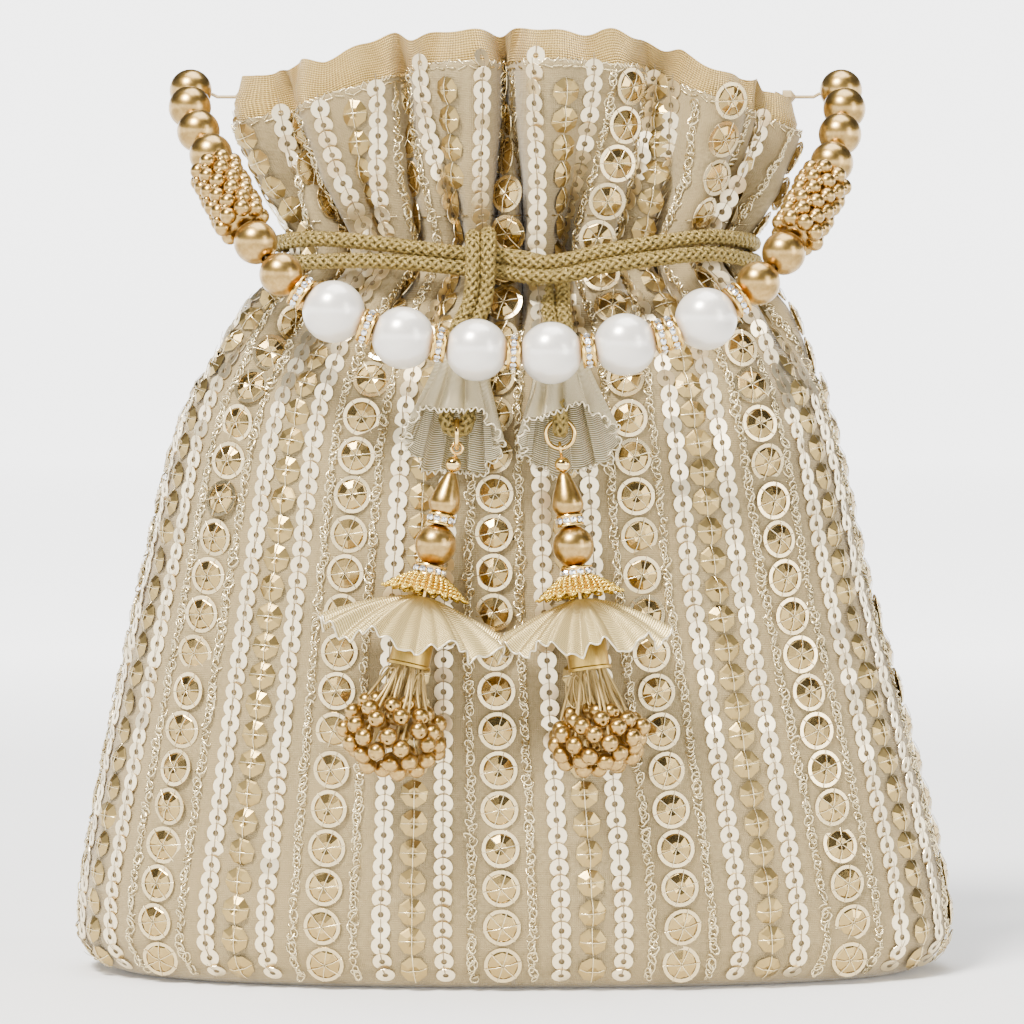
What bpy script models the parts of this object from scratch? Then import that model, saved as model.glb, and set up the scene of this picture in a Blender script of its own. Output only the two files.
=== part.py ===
"""Potli bag: a drawstring pouch of embroidered cloth with a tissue lining, a beaded handle and two tassels.

Frame: metres, +Z up, -Y is the front, origin at the middle of the base where the bag stands.
The bag stands on its flat base. The handle hangs down in front on a thread that is knotted through the
side seams, and each tassel hangs from a jump ring that is linked through the end of a drawstring cord.
"""

import math

import bmesh
import bpy
from mathutils import Euler, Matrix, Vector

# Bag body: (height, half width, half depth) of the cloth's outer face, from the base to the rim.
STATIONS = (
    (0.0000, 0.0900, 0.0340),
    (0.0030, 0.0965, 0.0395),
    (0.0090, 0.1005, 0.0425),
    (0.0450, 0.0945, 0.0429),
    (0.0900, 0.0865, 0.0405),
    (0.1300, 0.0770, 0.0372),
    (0.1470, 0.0690, 0.0330),
    (0.1560, 0.0605, 0.0262),
    (0.1605, 0.0540, 0.0205),
    (0.1735, 0.0525, 0.0195),
    (0.1790, 0.0565, 0.0220),
    (0.1950, 0.0645, 0.0275),
    (0.2215, 0.0690, 0.0310),
)
RING_POINTS = 32
ROUNDNESS = 2.3
NECK_Z = 0.1735
RIM_Z = 0.2215
STRAIGHT_Z = 0.0450
RIM_SIDE_DROP = 0.0115
BAND_FRONT = 0.0070
BAND_SIDE = 0.0035
CLOTH_T = 0.0012
LINING_T = 0.0006
GAP = 0.0004

# Drawstring channel between the cloth and the lining, and the slots where the cords leave it.
CHANNEL_DEPTH = 0.0066
CHANNEL_LOW_Z = 0.1605
CHANNEL_HIGH_Z = 0.1735
CORD_R = 0.0016
CORD_INSET = 0.0039
LOW_LOOP_Z = 0.1645
HIGH_LOOP_Z = 0.1690
SLOT_Y = (-0.0045, 0.0118)
SLOT_Z = (0.1618, 0.1722)

BOARD_Z = (0.0016, 0.0030)
LINING_FLOOR_Z = 0.0034

# Handle: the axis that it turns on runs through the two side seams, below the rim.
HANDLE_AXIS_Z = 0.2035
THREAD_R = 0.0004
BORE_R = 0.0012
SEAM_HOLE_R = 0.0011
THREAD_KNOT_R = 0.0016
GOLD_R = 0.00475
PEARL_R = 0.0068
RONDELLE_R = 0.0036
RONDELLE_W = 0.0022
TUBE_LENGTH = 0.0193
TUBE_R = 0.0060
BEAD_STEPS = 10

# Tassels.
RING_R = 0.0032
RING_WIRE_R = 0.0005
EYE_R = 0.00125
EYE_WIRE_R = 0.00035
PIN_LENGTH = 0.0405
BIGHT_R = 0.0024


def clear_scene():
    for obj in list(bpy.data.objects):
        bpy.data.objects.remove(obj, do_unlink=True)


def material(name, colour, roughness, metallic=0.0):
    made = bpy.data.materials.new(name)
    made.use_nodes = True
    shader = made.node_tree.nodes["Principled BSDF"]
    shader.inputs["Base Color"].default_value = (*colour, 1.0)
    shader.inputs["Roughness"].default_value = roughness
    shader.inputs["Metallic"].default_value = metallic
    return made


def add_object(name, mesh, finish, smooth_deg=50):
    obj = bpy.data.objects.new(name, mesh)
    bpy.context.scene.collection.objects.link(obj)
    if isinstance(mesh, bpy.types.Mesh):
        mesh.shade_smooth()
        mesh.set_sharp_from_angle(angle=math.radians(smooth_deg))
    mesh.materials.append(finish)
    return obj


def mesh_from(bm, name):
    bmesh.ops.recalc_face_normals(bm, faces=bm.faces)
    mesh = bpy.data.meshes.new(name)
    bm.to_mesh(mesh)
    bm.free()
    return mesh


def superellipse(half_width, half_depth, angle):
    """Point of the bag's plan outline; angle 0 is the right-hand side seam, and -90 degrees the front."""
    c, s = math.cos(angle), math.sin(angle)
    power = 2 / ROUNDNESS
    return (
        half_width * math.copysign(abs(c) ** power, c),
        half_depth * math.copysign(abs(s) ** power, s),
    )


def ring_angles():
    return [2 * math.pi * i / RING_POINTS for i in range(RING_POINTS)]


def rim_z(sideways, band):
    """Height of the rim, which dips towards the side seams. sideways is 0 at the front and 1 at a seam."""
    top = RIM_Z - RIM_SIDE_DROP * sideways**2
    return top - band * (BAND_FRONT + (BAND_SIDE - BAND_FRONT) * sideways**2)


def cloth_ring(bm, station, inset, band, floor_z=0.0):
    """One ring of vertices; above the neck, heights stretch so that the last station is the rim."""
    z, half_width, half_depth = station
    made = []
    for angle in ring_angles():
        x, y = superellipse(half_width - inset, half_depth - inset, angle)
        height = z
        if z > NECK_Z:
            share = (z - NECK_Z) / (RIM_Z - NECK_Z)
            height = NECK_Z + share * (rim_z(abs(math.cos(angle)), band) - NECK_Z)
        elif floor_z:
            height = z + floor_z * max(0.0, 1 - z / STRAIGHT_Z)
        made.append(bm.verts.new((x, y, height)))
    return made


def cloth_shell(name, finish, inset_at, thickness, band, floor_z):
    """An open pouch of one thickness: outer rings up, over the rim, and inner rings down to the floor."""
    bm = bmesh.new()
    outer = [cloth_ring(bm, s, inset_at(s[0]), band, floor_z) for s in STATIONS]
    inner = [
        cloth_ring(bm, s, inset_at(s[0]) + thickness, band, floor_z + thickness)
        for s in STATIONS
    ]
    loops = outer + inner[::-1]
    for low, high in zip(loops, loops[1:]):
        for i in range(RING_POINTS):
            j = (i + 1) % RING_POINTS
            bm.faces.new((low[i], low[j], high[j], high[i]))
    bm.faces.new(outer[0][::-1])
    bm.faces.new(inner[0])
    return add_object(name, mesh_from(bm, name), finish)


def lining_inset(z):
    """The lining lies close behind the cloth, and further in where the cords run between them."""
    if CHANNEL_LOW_Z <= z <= CHANNEL_HIGH_Z:
        return CHANNEL_DEPTH
    return CLOTH_T + (3 * GAP if z < STRAIGHT_Z else GAP)


def cut(obj, cutter):
    cutter.hide_render = True
    cutter.display_type = "WIRE"
    modifier = obj.modifiers.new("cut_" + cutter.name, "BOOLEAN")
    modifier.operation = "DIFFERENCE"
    modifier.object = cutter


def box_cutter(name, low, high):
    bm = bmesh.new()
    bmesh.ops.create_cube(bm, size=1.0)
    size = [h - l for l, h in zip(low, high)]
    middle = [(h + l) / 2 for l, h in zip(low, high)]
    bmesh.ops.transform(bm, matrix=Matrix.Translation(middle) @ Matrix.Diagonal((*size, 1)), verts=bm.verts)
    mesh = mesh_from(bm, name)
    obj = bpy.data.objects.new(name, mesh)
    bpy.context.scene.collection.objects.link(obj)
    return obj


def seam_hole_cutter(name, side):
    """A rod along X that makes the hole where the handle's thread passes through a side seam."""
    bm = bmesh.new()
    bmesh.ops.create_cone(
        bm, cap_ends=True, segments=12, radius1=SEAM_HOLE_R, radius2=SEAM_HOLE_R, depth=0.020
    )
    place = Matrix.Translation((side * 0.066, 0, HANDLE_AXIS_Z)) @ Matrix.Rotation(math.pi / 2, 4, "Y")
    bmesh.ops.transform(bm, matrix=place, verts=bm.verts)
    obj = bpy.data.objects.new(name, mesh_from(bm, name))
    bpy.context.scene.collection.objects.link(obj)
    return obj


def base_board(finish):
    """Stiff card between the cloth's base and the lining's floor."""
    bm = bmesh.new()
    low, high = (
        [
            bm.verts.new((*superellipse(STATIONS[0][1] - 0.002, STATIONS[0][2] - 0.002, a), z))
            for a in ring_angles()
        ]
        for z in BOARD_Z
    )
    for i in range(RING_POINTS):
        j = (i + 1) % RING_POINTS
        bm.faces.new((low[i], low[j], high[j], high[i]))
    bm.faces.new(low[::-1])
    bm.faces.new(high)
    return add_object("base_board", mesh_from(bm, "base_board"), finish)


def smooth_route(points, per_span):
    """Points of a Catmull-Rom curve through the route's own points."""
    p = [Vector(q) for q in points]
    p = [2 * p[0] - p[1], *p, 2 * p[-1] - p[-2]]
    made = []
    for a, b, c, d in zip(p, p[1:], p[2:], p[3:]):
        for k in range(per_span):
            t = k / per_span
            made.append(
                0.5 * (2 * b + (c - a) * t + (2 * a - 5 * b + 4 * c - d) * t**2 + (3 * b - a - 3 * c + d) * t**3)
            )
    return [*made, p[-2]]


def tube(name, points, radius, finish, knot_radius=None):
    """A round cord along the points. knot_radius swells the first and last two points into a stopper knot."""
    curve = bpy.data.curves.new(name, "CURVE")
    curve.dimensions = "3D"
    curve.bevel_depth = radius
    curve.bevel_resolution = 2
    curve.use_fill_caps = True
    spline = curve.splines.new("POLY")
    spline.points.add(len(points) - 1)
    for place, q in zip(spline.points, points):
        place.co = (*q, 1.0)
    if knot_radius:
        for i in (0, 1, -2, -1):
            spline.points[i].radius = knot_radius / radius
    return add_object(name, curve, finish)


def turned(name, profile, finish, steps=BEAD_STEPS, bored=True):
    """A turned piece about Z from (radius, height) points. A bored one has its bore as the profile's last edge."""
    bm = bmesh.new()
    made = [bm.verts.new((r, 0, z)) for r, z in profile]
    edges = [bm.edges.new(pair) for pair in zip(made, made[1:])]
    if bored:
        edges.append(bm.edges.new((made[-1], made[0])))
    bmesh.ops.spin(
        bm, geom=made + edges, axis=(0, 0, 1), cent=(0, 0, 0), angle=2 * math.pi, steps=steps, use_merge=True
    )
    bmesh.ops.remove_doubles(bm, verts=bm.verts, dist=1e-6)
    return add_object(name, mesh_from(bm, name), finish)


def ball_profile(radius, bore, arcs=5):
    """Half circle from the top of the bore round to its bottom."""
    start = math.asin(bore / radius)
    return [
        (radius * math.sin(a), radius * math.cos(a))
        for a in (start + (math.pi - 2 * start) * i / arcs for i in range(arcs + 1))
    ]


def rondelle_profile(radius, width, bore):
    return [(bore, width / 2), (radius, width / 2), (radius, -width / 2), (bore, -width / 2)]


def seed_tube_profile(length, radius, bore):
    """A sleeve of five rounded rows, one for each row of small beads."""
    rows = 5
    dip = radius * 0.86
    made = [(bore, length / 2)]
    for row in range(rows):
        top = length / 2 - row * length / rows
        made += [(dip, top - 0.04 * length / rows), (radius, top - 0.5 * length / rows)]
    return [*made, (dip, -length / 2 + 0.0004), (bore, -length / 2)]


def torus(name, radius, wire, finish, normal):
    """A closed wire ring whose hole faces along normal."""
    bm = bmesh.new()
    circle = [
        bm.verts.new((radius + wire * math.cos(a), 0, wire * math.sin(a)))
        for a in (2 * math.pi * i / 6 for i in range(6))
    ]
    edges = [bm.edges.new((circle[i], circle[(i + 1) % 6])) for i in range(6)]
    bmesh.ops.spin(
        bm, geom=circle + edges, axis=(0, 0, 1), cent=(0, 0, 0), angle=2 * math.pi, steps=14, use_merge=True
    )
    bmesh.ops.remove_doubles(bm, verts=bm.verts, dist=1e-6)
    turn = Vector((0, 0, 1)).rotation_difference(Vector(normal)).to_matrix().to_4x4()
    bmesh.ops.transform(bm, matrix=turn, verts=bm.verts)
    return add_object(name, mesh_from(bm, name), finish)


def oval_cone(name, rows, thickness, finish, steps=20):
    """A thin flared shell. rows are (height, half width, half depth) of its outer face, top to bottom."""
    bm = bmesh.new()

    def loop(z, half_width, half_depth, inset):
        return [
            bm.verts.new(((half_width - inset) * math.cos(a), (half_depth - inset) * math.sin(a), z))
            for a in (2 * math.pi * i / steps for i in range(steps))
        ]

    outer = [loop(*row, 0.0) for row in rows]
    inner = [loop(*row, thickness) for row in rows]
    loops = [*outer, *inner[::-1]]
    for one, two in zip(loops, [*loops[1:], loops[0]]):
        for i in range(steps):
            j = (i + 1) % steps
            bm.faces.new((one[i], one[j], two[j], two[i]))
    return add_object(name, mesh_from(bm, name), finish)


# The drawstring. Each cord is a loop: out of the slot in its own side seam, round the channel and back out.
FRONT_Y = -0.0250
KNOT_CENTRE = (0.0006, -0.0262, 0.1655)
KNOT_SIZE = (0.0126, 0.0048, 0.0062)


def neck_size(z):
    """Half width and half depth of the cloth at a height within the neck."""
    (low_z, *low), (high_z, *high) = (s for s in STATIONS if s[0] in (CHANNEL_LOW_Z, CHANNEL_HIGH_Z))
    share = (z - low_z) / (high_z - low_z)
    return [a + share * (b - a) for a, b in zip(low, high)]


def channel_point(degrees, z, side):
    """A point of a cord's loop inside the channel, counted from the side seam that the cord leaves by."""
    half_width, half_depth = neck_size(z)
    x, y = superellipse(half_width - CORD_INSET, half_depth - CORD_INSET, math.radians(degrees))
    return (side * x, y, z)


def drawstring_route(side, loop_z, rising_z, near_z, near_x):
    """side is -1 for the left cord and 1 for the right one. The back half of the loop leaves the slot at
    rising_z, and the front half turns back round the slot's edge at loop_z. Both run to the knot."""
    s = side
    back_out = [
        (near_x[0], FRONT_Y - 0.0004, near_z[0]),
        (s * 0.0240, FRONT_Y, near_z[0] + 0.6 * (rising_z - near_z[0])),
        (s * 0.0400, FRONT_Y + 0.0035, rising_z),
        (s * 0.0505, -0.0145, rising_z),
        (s * 0.0556, -0.0060, rising_z),
        (s * 0.0562, 0.0000, rising_z + 0.2 * (loop_z - rising_z)),
        (s * 0.0535, 0.0050, rising_z + 0.55 * (loop_z - rising_z)),
        (s * 0.0470, 0.0086, loop_z),
    ]
    around = [
        channel_point(d, loop_z, s)
        for d in (58, 75, 90, 105, 122, 142, 162, 180, 198, 218, 238, 255, 270, 285, 302, 318)
    ]
    turn_back = [
        (s * 0.0474, -0.0052, loop_z),
        (s * 0.0497, -0.0010, loop_z),
        (s * 0.0527, 0.0008, loop_z),
        (s * 0.0557, -0.0012, loop_z),
        (s * 0.0556, -0.0060, loop_z),
        (s * 0.0505, -0.0145, loop_z),
        (s * 0.0400, FRONT_Y + 0.0035, loop_z),
        (s * 0.0240, FRONT_Y, near_z[1] + 0.6 * (loop_z - near_z[1])),
        (near_x[1], FRONT_Y - 0.0004, near_z[1]),
    ]
    return [*back_out, *around, *turn_back]


def knot(finish):
    """The half knot that ties the two doubled cords in front, as one rounded lump."""
    bm = bmesh.new()
    bmesh.ops.create_uvsphere(bm, u_segments=12, v_segments=8, radius=1.0)
    bmesh.ops.transform(
        bm, matrix=Matrix.Translation(KNOT_CENTRE) @ Matrix.Diagonal((*KNOT_SIZE, 1)), verts=bm.verts
    )
    return add_object("knot", mesh_from(bm, "knot"), finish)


def cord_end_route(top, middle, ring_centre, across):
    """A doubled cord from the knot down through the jump ring and back. across is the ring's own axis."""
    side = Vector((1, 0, 0))
    turn = Vector(across)
    bight = Vector(ring_centre) + Vector((0, 0, RING_R - BIGHT_R))
    rows = [
        (Vector(top), side, 0.0018),
        (Vector(middle), side, 0.0020),
        (bight + Vector((0, 0.0075, 0.0165)), side, 0.0021),
        (bight + Vector((0, 0.0025, 0.0092)), (side + turn).normalized(), 0.0024),
        (bight + Vector((0, 0.0004, 0.0046)), turn, BIGHT_R),
    ]
    down = [centre + way * half for centre, way, half in rows]
    back = [centre - way * half for centre, way, half in rows]
    bend = [
        bight + Vector((0, 0, BIGHT_R)) + BIGHT_R * (turn * math.cos(a) - Vector((0, 0, math.sin(a))))
        for a in (math.radians(d) for d in (0, 30, 60, 90, 120, 150, 180))
    ]
    return [*down, *bend, *back[::-1]]


# Each tassel: centre of its jump ring, the ring's axis, its sideways tilt and its lean away from the bag.
TASSELS = {
    "left": {
        "ring": (-0.0131, -0.0470, 0.1263),
        "ring_axis": (1, 0, 0),
        "tilt_deg": 12.5,
        "frill_half_width": 0.0205,
        "cord_top": (-0.0072, -0.0272, 0.1580),
        "cord_middle": (-0.0098, -0.0345, 0.1500),
        "bell_top": (-0.0117, -0.0378, 0.1466),
        "bell_mouth": (-0.0138, -0.0482, 0.1268),
    },
    "right": {
        "ring": (0.0100, -0.0470, 0.1263),
        "ring_axis": (0, 1, 0),
        "tilt_deg": -7.5,
        "frill_half_width": 0.0178,
        "cord_top": (0.0078, -0.0272, 0.1580),
        "cord_middle": (0.0092, -0.0345, 0.1500),
        "bell_top": (0.0100, -0.0378, 0.1466),
        "bell_mouth": (0.0108, -0.0482, 0.1268),
    },
}
LEAN_DEG = -6.5
BELL_ROWS = ((0.0, 0.0052, 0.0042), (-0.008, 0.0066, 0.0054), (-0.021, 0.0102, 0.0078))
BELL_T = 0.0005

# Along the pin, from the link with the ring: where each piece starts and ends.
BALL_AT, BALL_R = 0.0037, 0.0017
TEARDROP = (0.0056, 0.0150, 0.0035)
UPPER_RONDELLE = (0.0152, 0.0023, 0.0032)
ROUND_BEAD_AT, ROUND_BEAD_R = 0.0222, 0.0045
LOWER_RONDELLE = (0.0269, 0.0024, 0.0035)
CAP = (0.0296, 0.0038, 0.0090)
FRILL_ROWS = ((-0.0345, 0.12, 0.0024), (-0.0385, 0.38, 0.0052), (-0.0430, 0.72, 0.0070), (-0.0480, 1.0, 0.0082))
FRILL_T = 0.0006
FERRULE = (0.0400, 0.0500, 0.0044, 0.0052)
DROP_TOP, DROP_NECK, DROP_MIDDLE, DROP_R, DROP_HALF = 0.0435, 0.0560, 0.0655, 0.0118, 0.0092


def pin_pivot(name, tassel):
    """Empty at the link between the ring and the pin; the tassel's pieces hang along its -Z."""
    pivot = bpy.data.objects.new("pivot_" + name, None)
    bpy.context.scene.collection.objects.link(pivot)
    pivot.location = Vector(tassel["ring"]) - Vector((0, 0, RING_R))
    pivot.rotation_euler = Euler((math.radians(LEAN_DEG), math.radians(tassel["tilt_deg"]), 0))
    return pivot


def eye_pin(name, finish, ring_axis, pivot):
    """Wire pin with an eye round the ring's wire and a small ball threaded against the eye, as one piece."""
    eye_normal = Vector((0, 1, 0)) if ring_axis[0] else Vector((1, 0, 0))
    obj = torus(name, EYE_R, EYE_WIRE_R, finish, eye_normal)
    shaft_top = -(EYE_R - 0.1 * EYE_WIRE_R)
    ball_top = -(BALL_AT - BALL_R)
    profile = [(0, shaft_top), (EYE_WIRE_R, shaft_top - 0.0001), (EYE_WIRE_R, ball_top - 0.0001)]
    profile += [
        (BALL_R * math.sin(a), -BALL_AT + BALL_R * math.cos(a))
        for a in (math.pi * i / 6 for i in range(1, 6))
    ]
    profile += [(EYE_WIRE_R, -(BALL_AT + BALL_R) + 0.0001), (EYE_WIRE_R, -PIN_LENGTH), (0, -PIN_LENGTH)]
    shaft = turned(name + "_shaft", profile, finish, steps=8, bored=False)
    join = obj.modifiers.new("shaft", "BOOLEAN")
    join.operation = "UNION"
    join.object = shaft
    shaft.hide_render = True
    shaft.display_type = "WIRE"
    for piece in (obj, shaft):
        piece.parent = pivot
    return obj


def pearl_drop(name, finish):
    """The bundle of threads below the ferrule and the cluster of small pearls on their ends, as one lump."""
    profile = [(0, -DROP_TOP), (0.0026, -DROP_TOP), (0.0026, -0.0500), (0.0050, -DROP_NECK)]
    profile += [
        (DROP_R * math.sin(a), -DROP_MIDDLE + DROP_HALF * math.cos(a))
        for a in (math.radians(d) for d in (50, 75, 100, 125, 150))
    ]
    return turned(name, [*profile, (0, -DROP_MIDDLE - DROP_HALF)], finish, steps=14, bored=False)


def teardrop_profile(top, bottom, radius, bore):
    length = bottom - top
    shape = ((0.0, 0.30), (0.25, 0.55), (0.5, 0.84), (0.72, 1.0), (0.9, 0.82), (1.0, 0.5))
    return [(bore, -top), *((radius * r, -top - length * t) for t, r in shape), (bore, -bottom)]


def tassel(side, facts, finishes):
    """Everything that hangs from one doubled cord end: bell, jump ring and the tassel on its pin."""
    bell_axis = Vector(facts["bell_mouth"]) - Vector(facts["bell_top"])
    bell = oval_cone("bell_" + side, BELL_ROWS, BELL_T, finishes["ribbon"])
    bell.location = facts["bell_top"]
    bell.rotation_euler = Vector((0, 0, -1)).rotation_difference(bell_axis).to_euler()
    ring = torus("ring_" + side, RING_R, RING_WIRE_R, finishes["gold"], facts["ring_axis"])
    ring.location = facts["ring"]
    pivot = pin_pivot(side, facts)
    eye_pin("eye_pin_" + side, finishes["gold"], facts["ring_axis"], pivot)
    frill_rows = [(z, share * facts["frill_half_width"], depth) for z, share, depth in FRILL_ROWS]
    bore = 0.0008
    cap_top, cap_height, cap_r = CAP
    ferrule_top, ferrule_bottom, top_r, bottom_r = FERRULE
    pieces = [
        turned("teardrop_" + side, teardrop_profile(*TEARDROP, bore), finishes["gold_pearl"]),
        turned(
            "rondelle_upper_" + side,
            [(r, z - UPPER_RONDELLE[0] - UPPER_RONDELLE[1] / 2) for r, z in
             rondelle_profile(UPPER_RONDELLE[2], UPPER_RONDELLE[1], bore)],
            finishes["rhinestone"],
        ),
        turned(
            "round_bead_" + side,
            [(r, z - ROUND_BEAD_AT) for r, z in ball_profile(ROUND_BEAD_R, bore)],
            finishes["gold_pearl"],
        ),
        turned(
            "rondelle_lower_" + side,
            [(r, z - LOWER_RONDELLE[0] - LOWER_RONDELLE[1] / 2) for r, z in
             rondelle_profile(LOWER_RONDELLE[2], LOWER_RONDELLE[1], bore)],
            finishes["rhinestone"],
        ),
        turned(
            "filigree_cap_" + side,
            [
                (bore, -cap_top), (0.0036, -cap_top), (cap_r, -cap_top - cap_height),
                (cap_r, -cap_top - cap_height - 0.0005), (0.0030, -cap_top - 0.0008), (bore, -cap_top - 0.0008),
            ],
            finishes["gold"],
            steps=16,
        ),
        oval_cone("frill_" + side, frill_rows, FRILL_T, finishes["ribbon"], steps=24),
        turned(
            "ferrule_" + side,
            [
                (bore, -ferrule_top), (top_r, -ferrule_top), (bottom_r, -ferrule_bottom),
                (bottom_r - 0.0004, -ferrule_bottom), (top_r - 0.0004, -ferrule_top - 0.0006),
                (bore, -ferrule_top - 0.0006),
            ],
            finishes["gold"],
            steps=14,
        ),
        pearl_drop("pearl_drop_" + side, finishes["gold_pearl"]),
    ]
    for piece in pieces:
        piece.parent = pivot
    route = cord_end_route(facts["cord_top"], facts["cord_middle"], facts["ring"], facts["ring_axis"])
    tube("cord_end_" + side, smooth_route(route, 2), CORD_R, finishes["cord"])


# The handle's thread, from the knot inside the left seam to the knot inside the right one. It runs along the
# handle's axis through the seam, and then along the beads' route.
SEAM_KNOT_X = (0.0622, 0.0642)
SEAM_RUN_X = (0.0652, 0.0694)
BEAD_ROUTE = (
    (-0.0738, 0.0012, 0.2046),
    (-0.0753, -0.0046, 0.2048),
    (-0.0750, -0.0130, 0.2008),
    (-0.0726, -0.0208, 0.1950),
    (-0.0692, -0.0285, 0.1892),
    (-0.0645, -0.0385, 0.1795),
    (-0.0580, -0.0470, 0.1690),
    (-0.0525, -0.0503, 0.1622),
    (-0.0436, -0.0520, 0.1553),
    (-0.0294, -0.0530, 0.1490),
    (-0.0133, -0.0535, 0.1457),
    (0.0037, -0.0537, 0.1444),
    (0.0205, -0.0535, 0.1456),
    (0.0378, -0.0525, 0.1500),
    (0.0492, -0.0510, 0.1562),
    (0.0575, -0.0475, 0.1635),
    (0.0655, -0.0385, 0.1752),
    (0.0715, -0.0285, 0.1865),
    (0.0742, -0.0208, 0.1942),
    (0.0757, -0.0130, 0.2004),
    (0.0755, -0.0046, 0.2048),
    (0.0740, 0.0012, 0.2046),
)
BEADS = (
    *["gold"] * 4, "tube", *["gold"] * 2,
    "rondelle", "pearl", "rondelle", "pearl", "rondelle", "pearl", "rondelle", "pearl", "rondelle", "pearl",
    "rondelle", "rondelle", "pearl", "rondelle",
    *["gold"] * 2, "tube", *["gold"] * 4,
)
BEAD_LENGTHS = {"gold": 2 * GOLD_R, "pearl": 2 * PEARL_R, "rondelle": RONDELLE_W, "tube": TUBE_LENGTH}
FIRST_CENTRE = 120
FREE_THREAD = 0.0011
THREAD_BEND = 0.0024


def centres(fine, gap):
    """Index along the fine route of each bead's centre, when neighbours are one gap apart."""
    made = [FIRST_CENTRE]
    for before, after in zip(BEADS, BEADS[1:]):
        reach = (BEAD_LENGTHS[before] + BEAD_LENGTHS[after]) / 2 + gap
        here = made[-1]
        while here < len(fine) - 1 and (fine[here] - fine[made[-1]]).length < reach:
            here += 1
        made.append(here)
    return made


def even_gap(fine):
    """The gap that brings the last bead as near to the route's end as the first one is to its start."""
    low, high = 0.0, 0.002
    for _ in range(12):
        gap = (low + high) / 2
        if centres(fine, gap)[-1] < len(fine) - 1 - FIRST_CENTRE:
            low = gap
        else:
            high = gap
    return low


def strung_bead(kind, name, finishes):
    if kind == "rondelle":
        return turned(name, rondelle_profile(RONDELLE_R, RONDELLE_W, BORE_R), finishes["rhinestone"])
    if kind == "tube":
        return turned(name, seed_tube_profile(TUBE_LENGTH, TUBE_R, BORE_R), finishes["gold_pearl"])
    if kind == "pearl":
        return turned(name, ball_profile(PEARL_R, BORE_R), finishes["pearl"])
    return turned(name, ball_profile(GOLD_R, BORE_R), finishes["gold_pearl"])


def bead_names():
    counts = {}
    for kind in BEADS:
        counts[kind] = counts.get(kind, 0) + 1
        if kind == "tube":
            yield kind, "seed_tube_" + ("left", "right")[counts[kind] - 1]
        else:
            yield kind, f"{'gold_bead' if kind == 'gold' else kind}_{counts[kind]}"


def free_end(fine, index, onward):
    """Where the thread bends towards the seam, just outside the first or the last bead."""
    way = (fine[index + 40] - fine[index - 40]).normalized()
    return fine[index] + onward * way * (GOLD_R + FREE_THREAD)


def handle(finishes):
    """The beads on their route, and the thread that runs straight through each of them."""
    fine = smooth_route(BEAD_ROUTE, 120)
    gap = even_gap(fine)
    print(f"gap between the handle's beads {gap * 1000:.2f} mm")
    start = [(-x, 0, HANDLE_AXIS_Z) for x in (*SEAM_KNOT_X, *SEAM_RUN_X)]
    thread = [Vector(q) for q in start]
    thread.append(free_end(fine, centres(fine, gap)[0], -1))
    for (kind, name), index in zip(bead_names(), centres(fine, gap)):
        place = fine[index]
        way = (fine[index + 40] - fine[index - 40]).normalized()
        bead = strung_bead(kind, name, finishes)
        bead.location = place
        bead.rotation_euler = way.to_track_quat("Z", "Y").to_euler()
        reach = max(BEAD_LENGTHS[kind] / 2 - THREAD_BEND, 0.0003)
        thread += [place - way * reach, place + way * reach]
    thread.append(free_end(fine, centres(fine, gap)[-1], 1))
    thread += [Vector((-x, y, z)) for x, y, z in start[::-1]]
    tube("handle_thread", thread, THREAD_R, finishes["thread"], THREAD_KNOT_R)


def main():
    clear_scene()
    finishes = {
        "cloth": material("embroidered_cloth", (0.60, 0.50, 0.37), 0.75),
        "lining": material("gold_tissue", (0.62, 0.46, 0.22), 0.40, 0.5),
        "board": material("card", (0.55, 0.48, 0.38), 0.9),
        "cord": material("metallic_cord", (0.62, 0.52, 0.25), 0.45, 0.6),
        "thread": material("nylon_thread", (0.75, 0.68, 0.50), 0.4),
        "pearl": material("white_pearl", (0.90, 0.88, 0.84), 0.18),
        "gold_pearl": material("gold_pearl", (0.72, 0.47, 0.18), 0.25, 0.7),
        "rhinestone": material("rhinestone_setting", (0.85, 0.72, 0.42), 0.15, 0.8),
        "gold": material("gold_plate", (0.80, 0.56, 0.16), 0.22, 1.0),
        "ribbon": material("tissue_ribbon", (0.78, 0.70, 0.48), 0.45, 0.4),
    }
    outer = cloth_shell("outer_cloth", finishes["cloth"], lambda z: 0.0, CLOTH_T, 1.0, 0.0)
    lining = cloth_shell("lining", finishes["lining"], lining_inset, LINING_T, 0.0, LINING_FLOOR_Z)
    base_board(finishes["board"])
    for side, where in ((-1, "left"), (1, "right")):
        edges = sorted((side * 0.0430, side * 0.0600))
        cut(outer, box_cutter("slot_" + where, (edges[0], SLOT_Y[0], SLOT_Z[0]), (edges[1], SLOT_Y[1], SLOT_Z[1])))
        hole = seam_hole_cutter("seam_hole_" + where, side)
        cut(outer, hole)
        cut(lining, hole)
    left = drawstring_route(-1, LOW_LOOP_Z, 0.1695, (0.1676, 0.1632), (-0.0129, -0.0129))
    right = drawstring_route(1, HIGH_LOOP_Z, 0.1645, (0.1630, 0.1672), (0.0141, 0.0141))
    tube("cord_left", smooth_route(left, 2), CORD_R, finishes["cord"])
    tube("cord_right", smooth_route(right, 2), CORD_R, finishes["cord"])
    knot(finishes["cord"])
    for side, facts in TASSELS.items():
        tassel(side, facts, finishes)
    handle(finishes)


main()
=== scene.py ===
import math

import bpy
import numpy as np
from mathutils import Matrix, Vector


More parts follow.
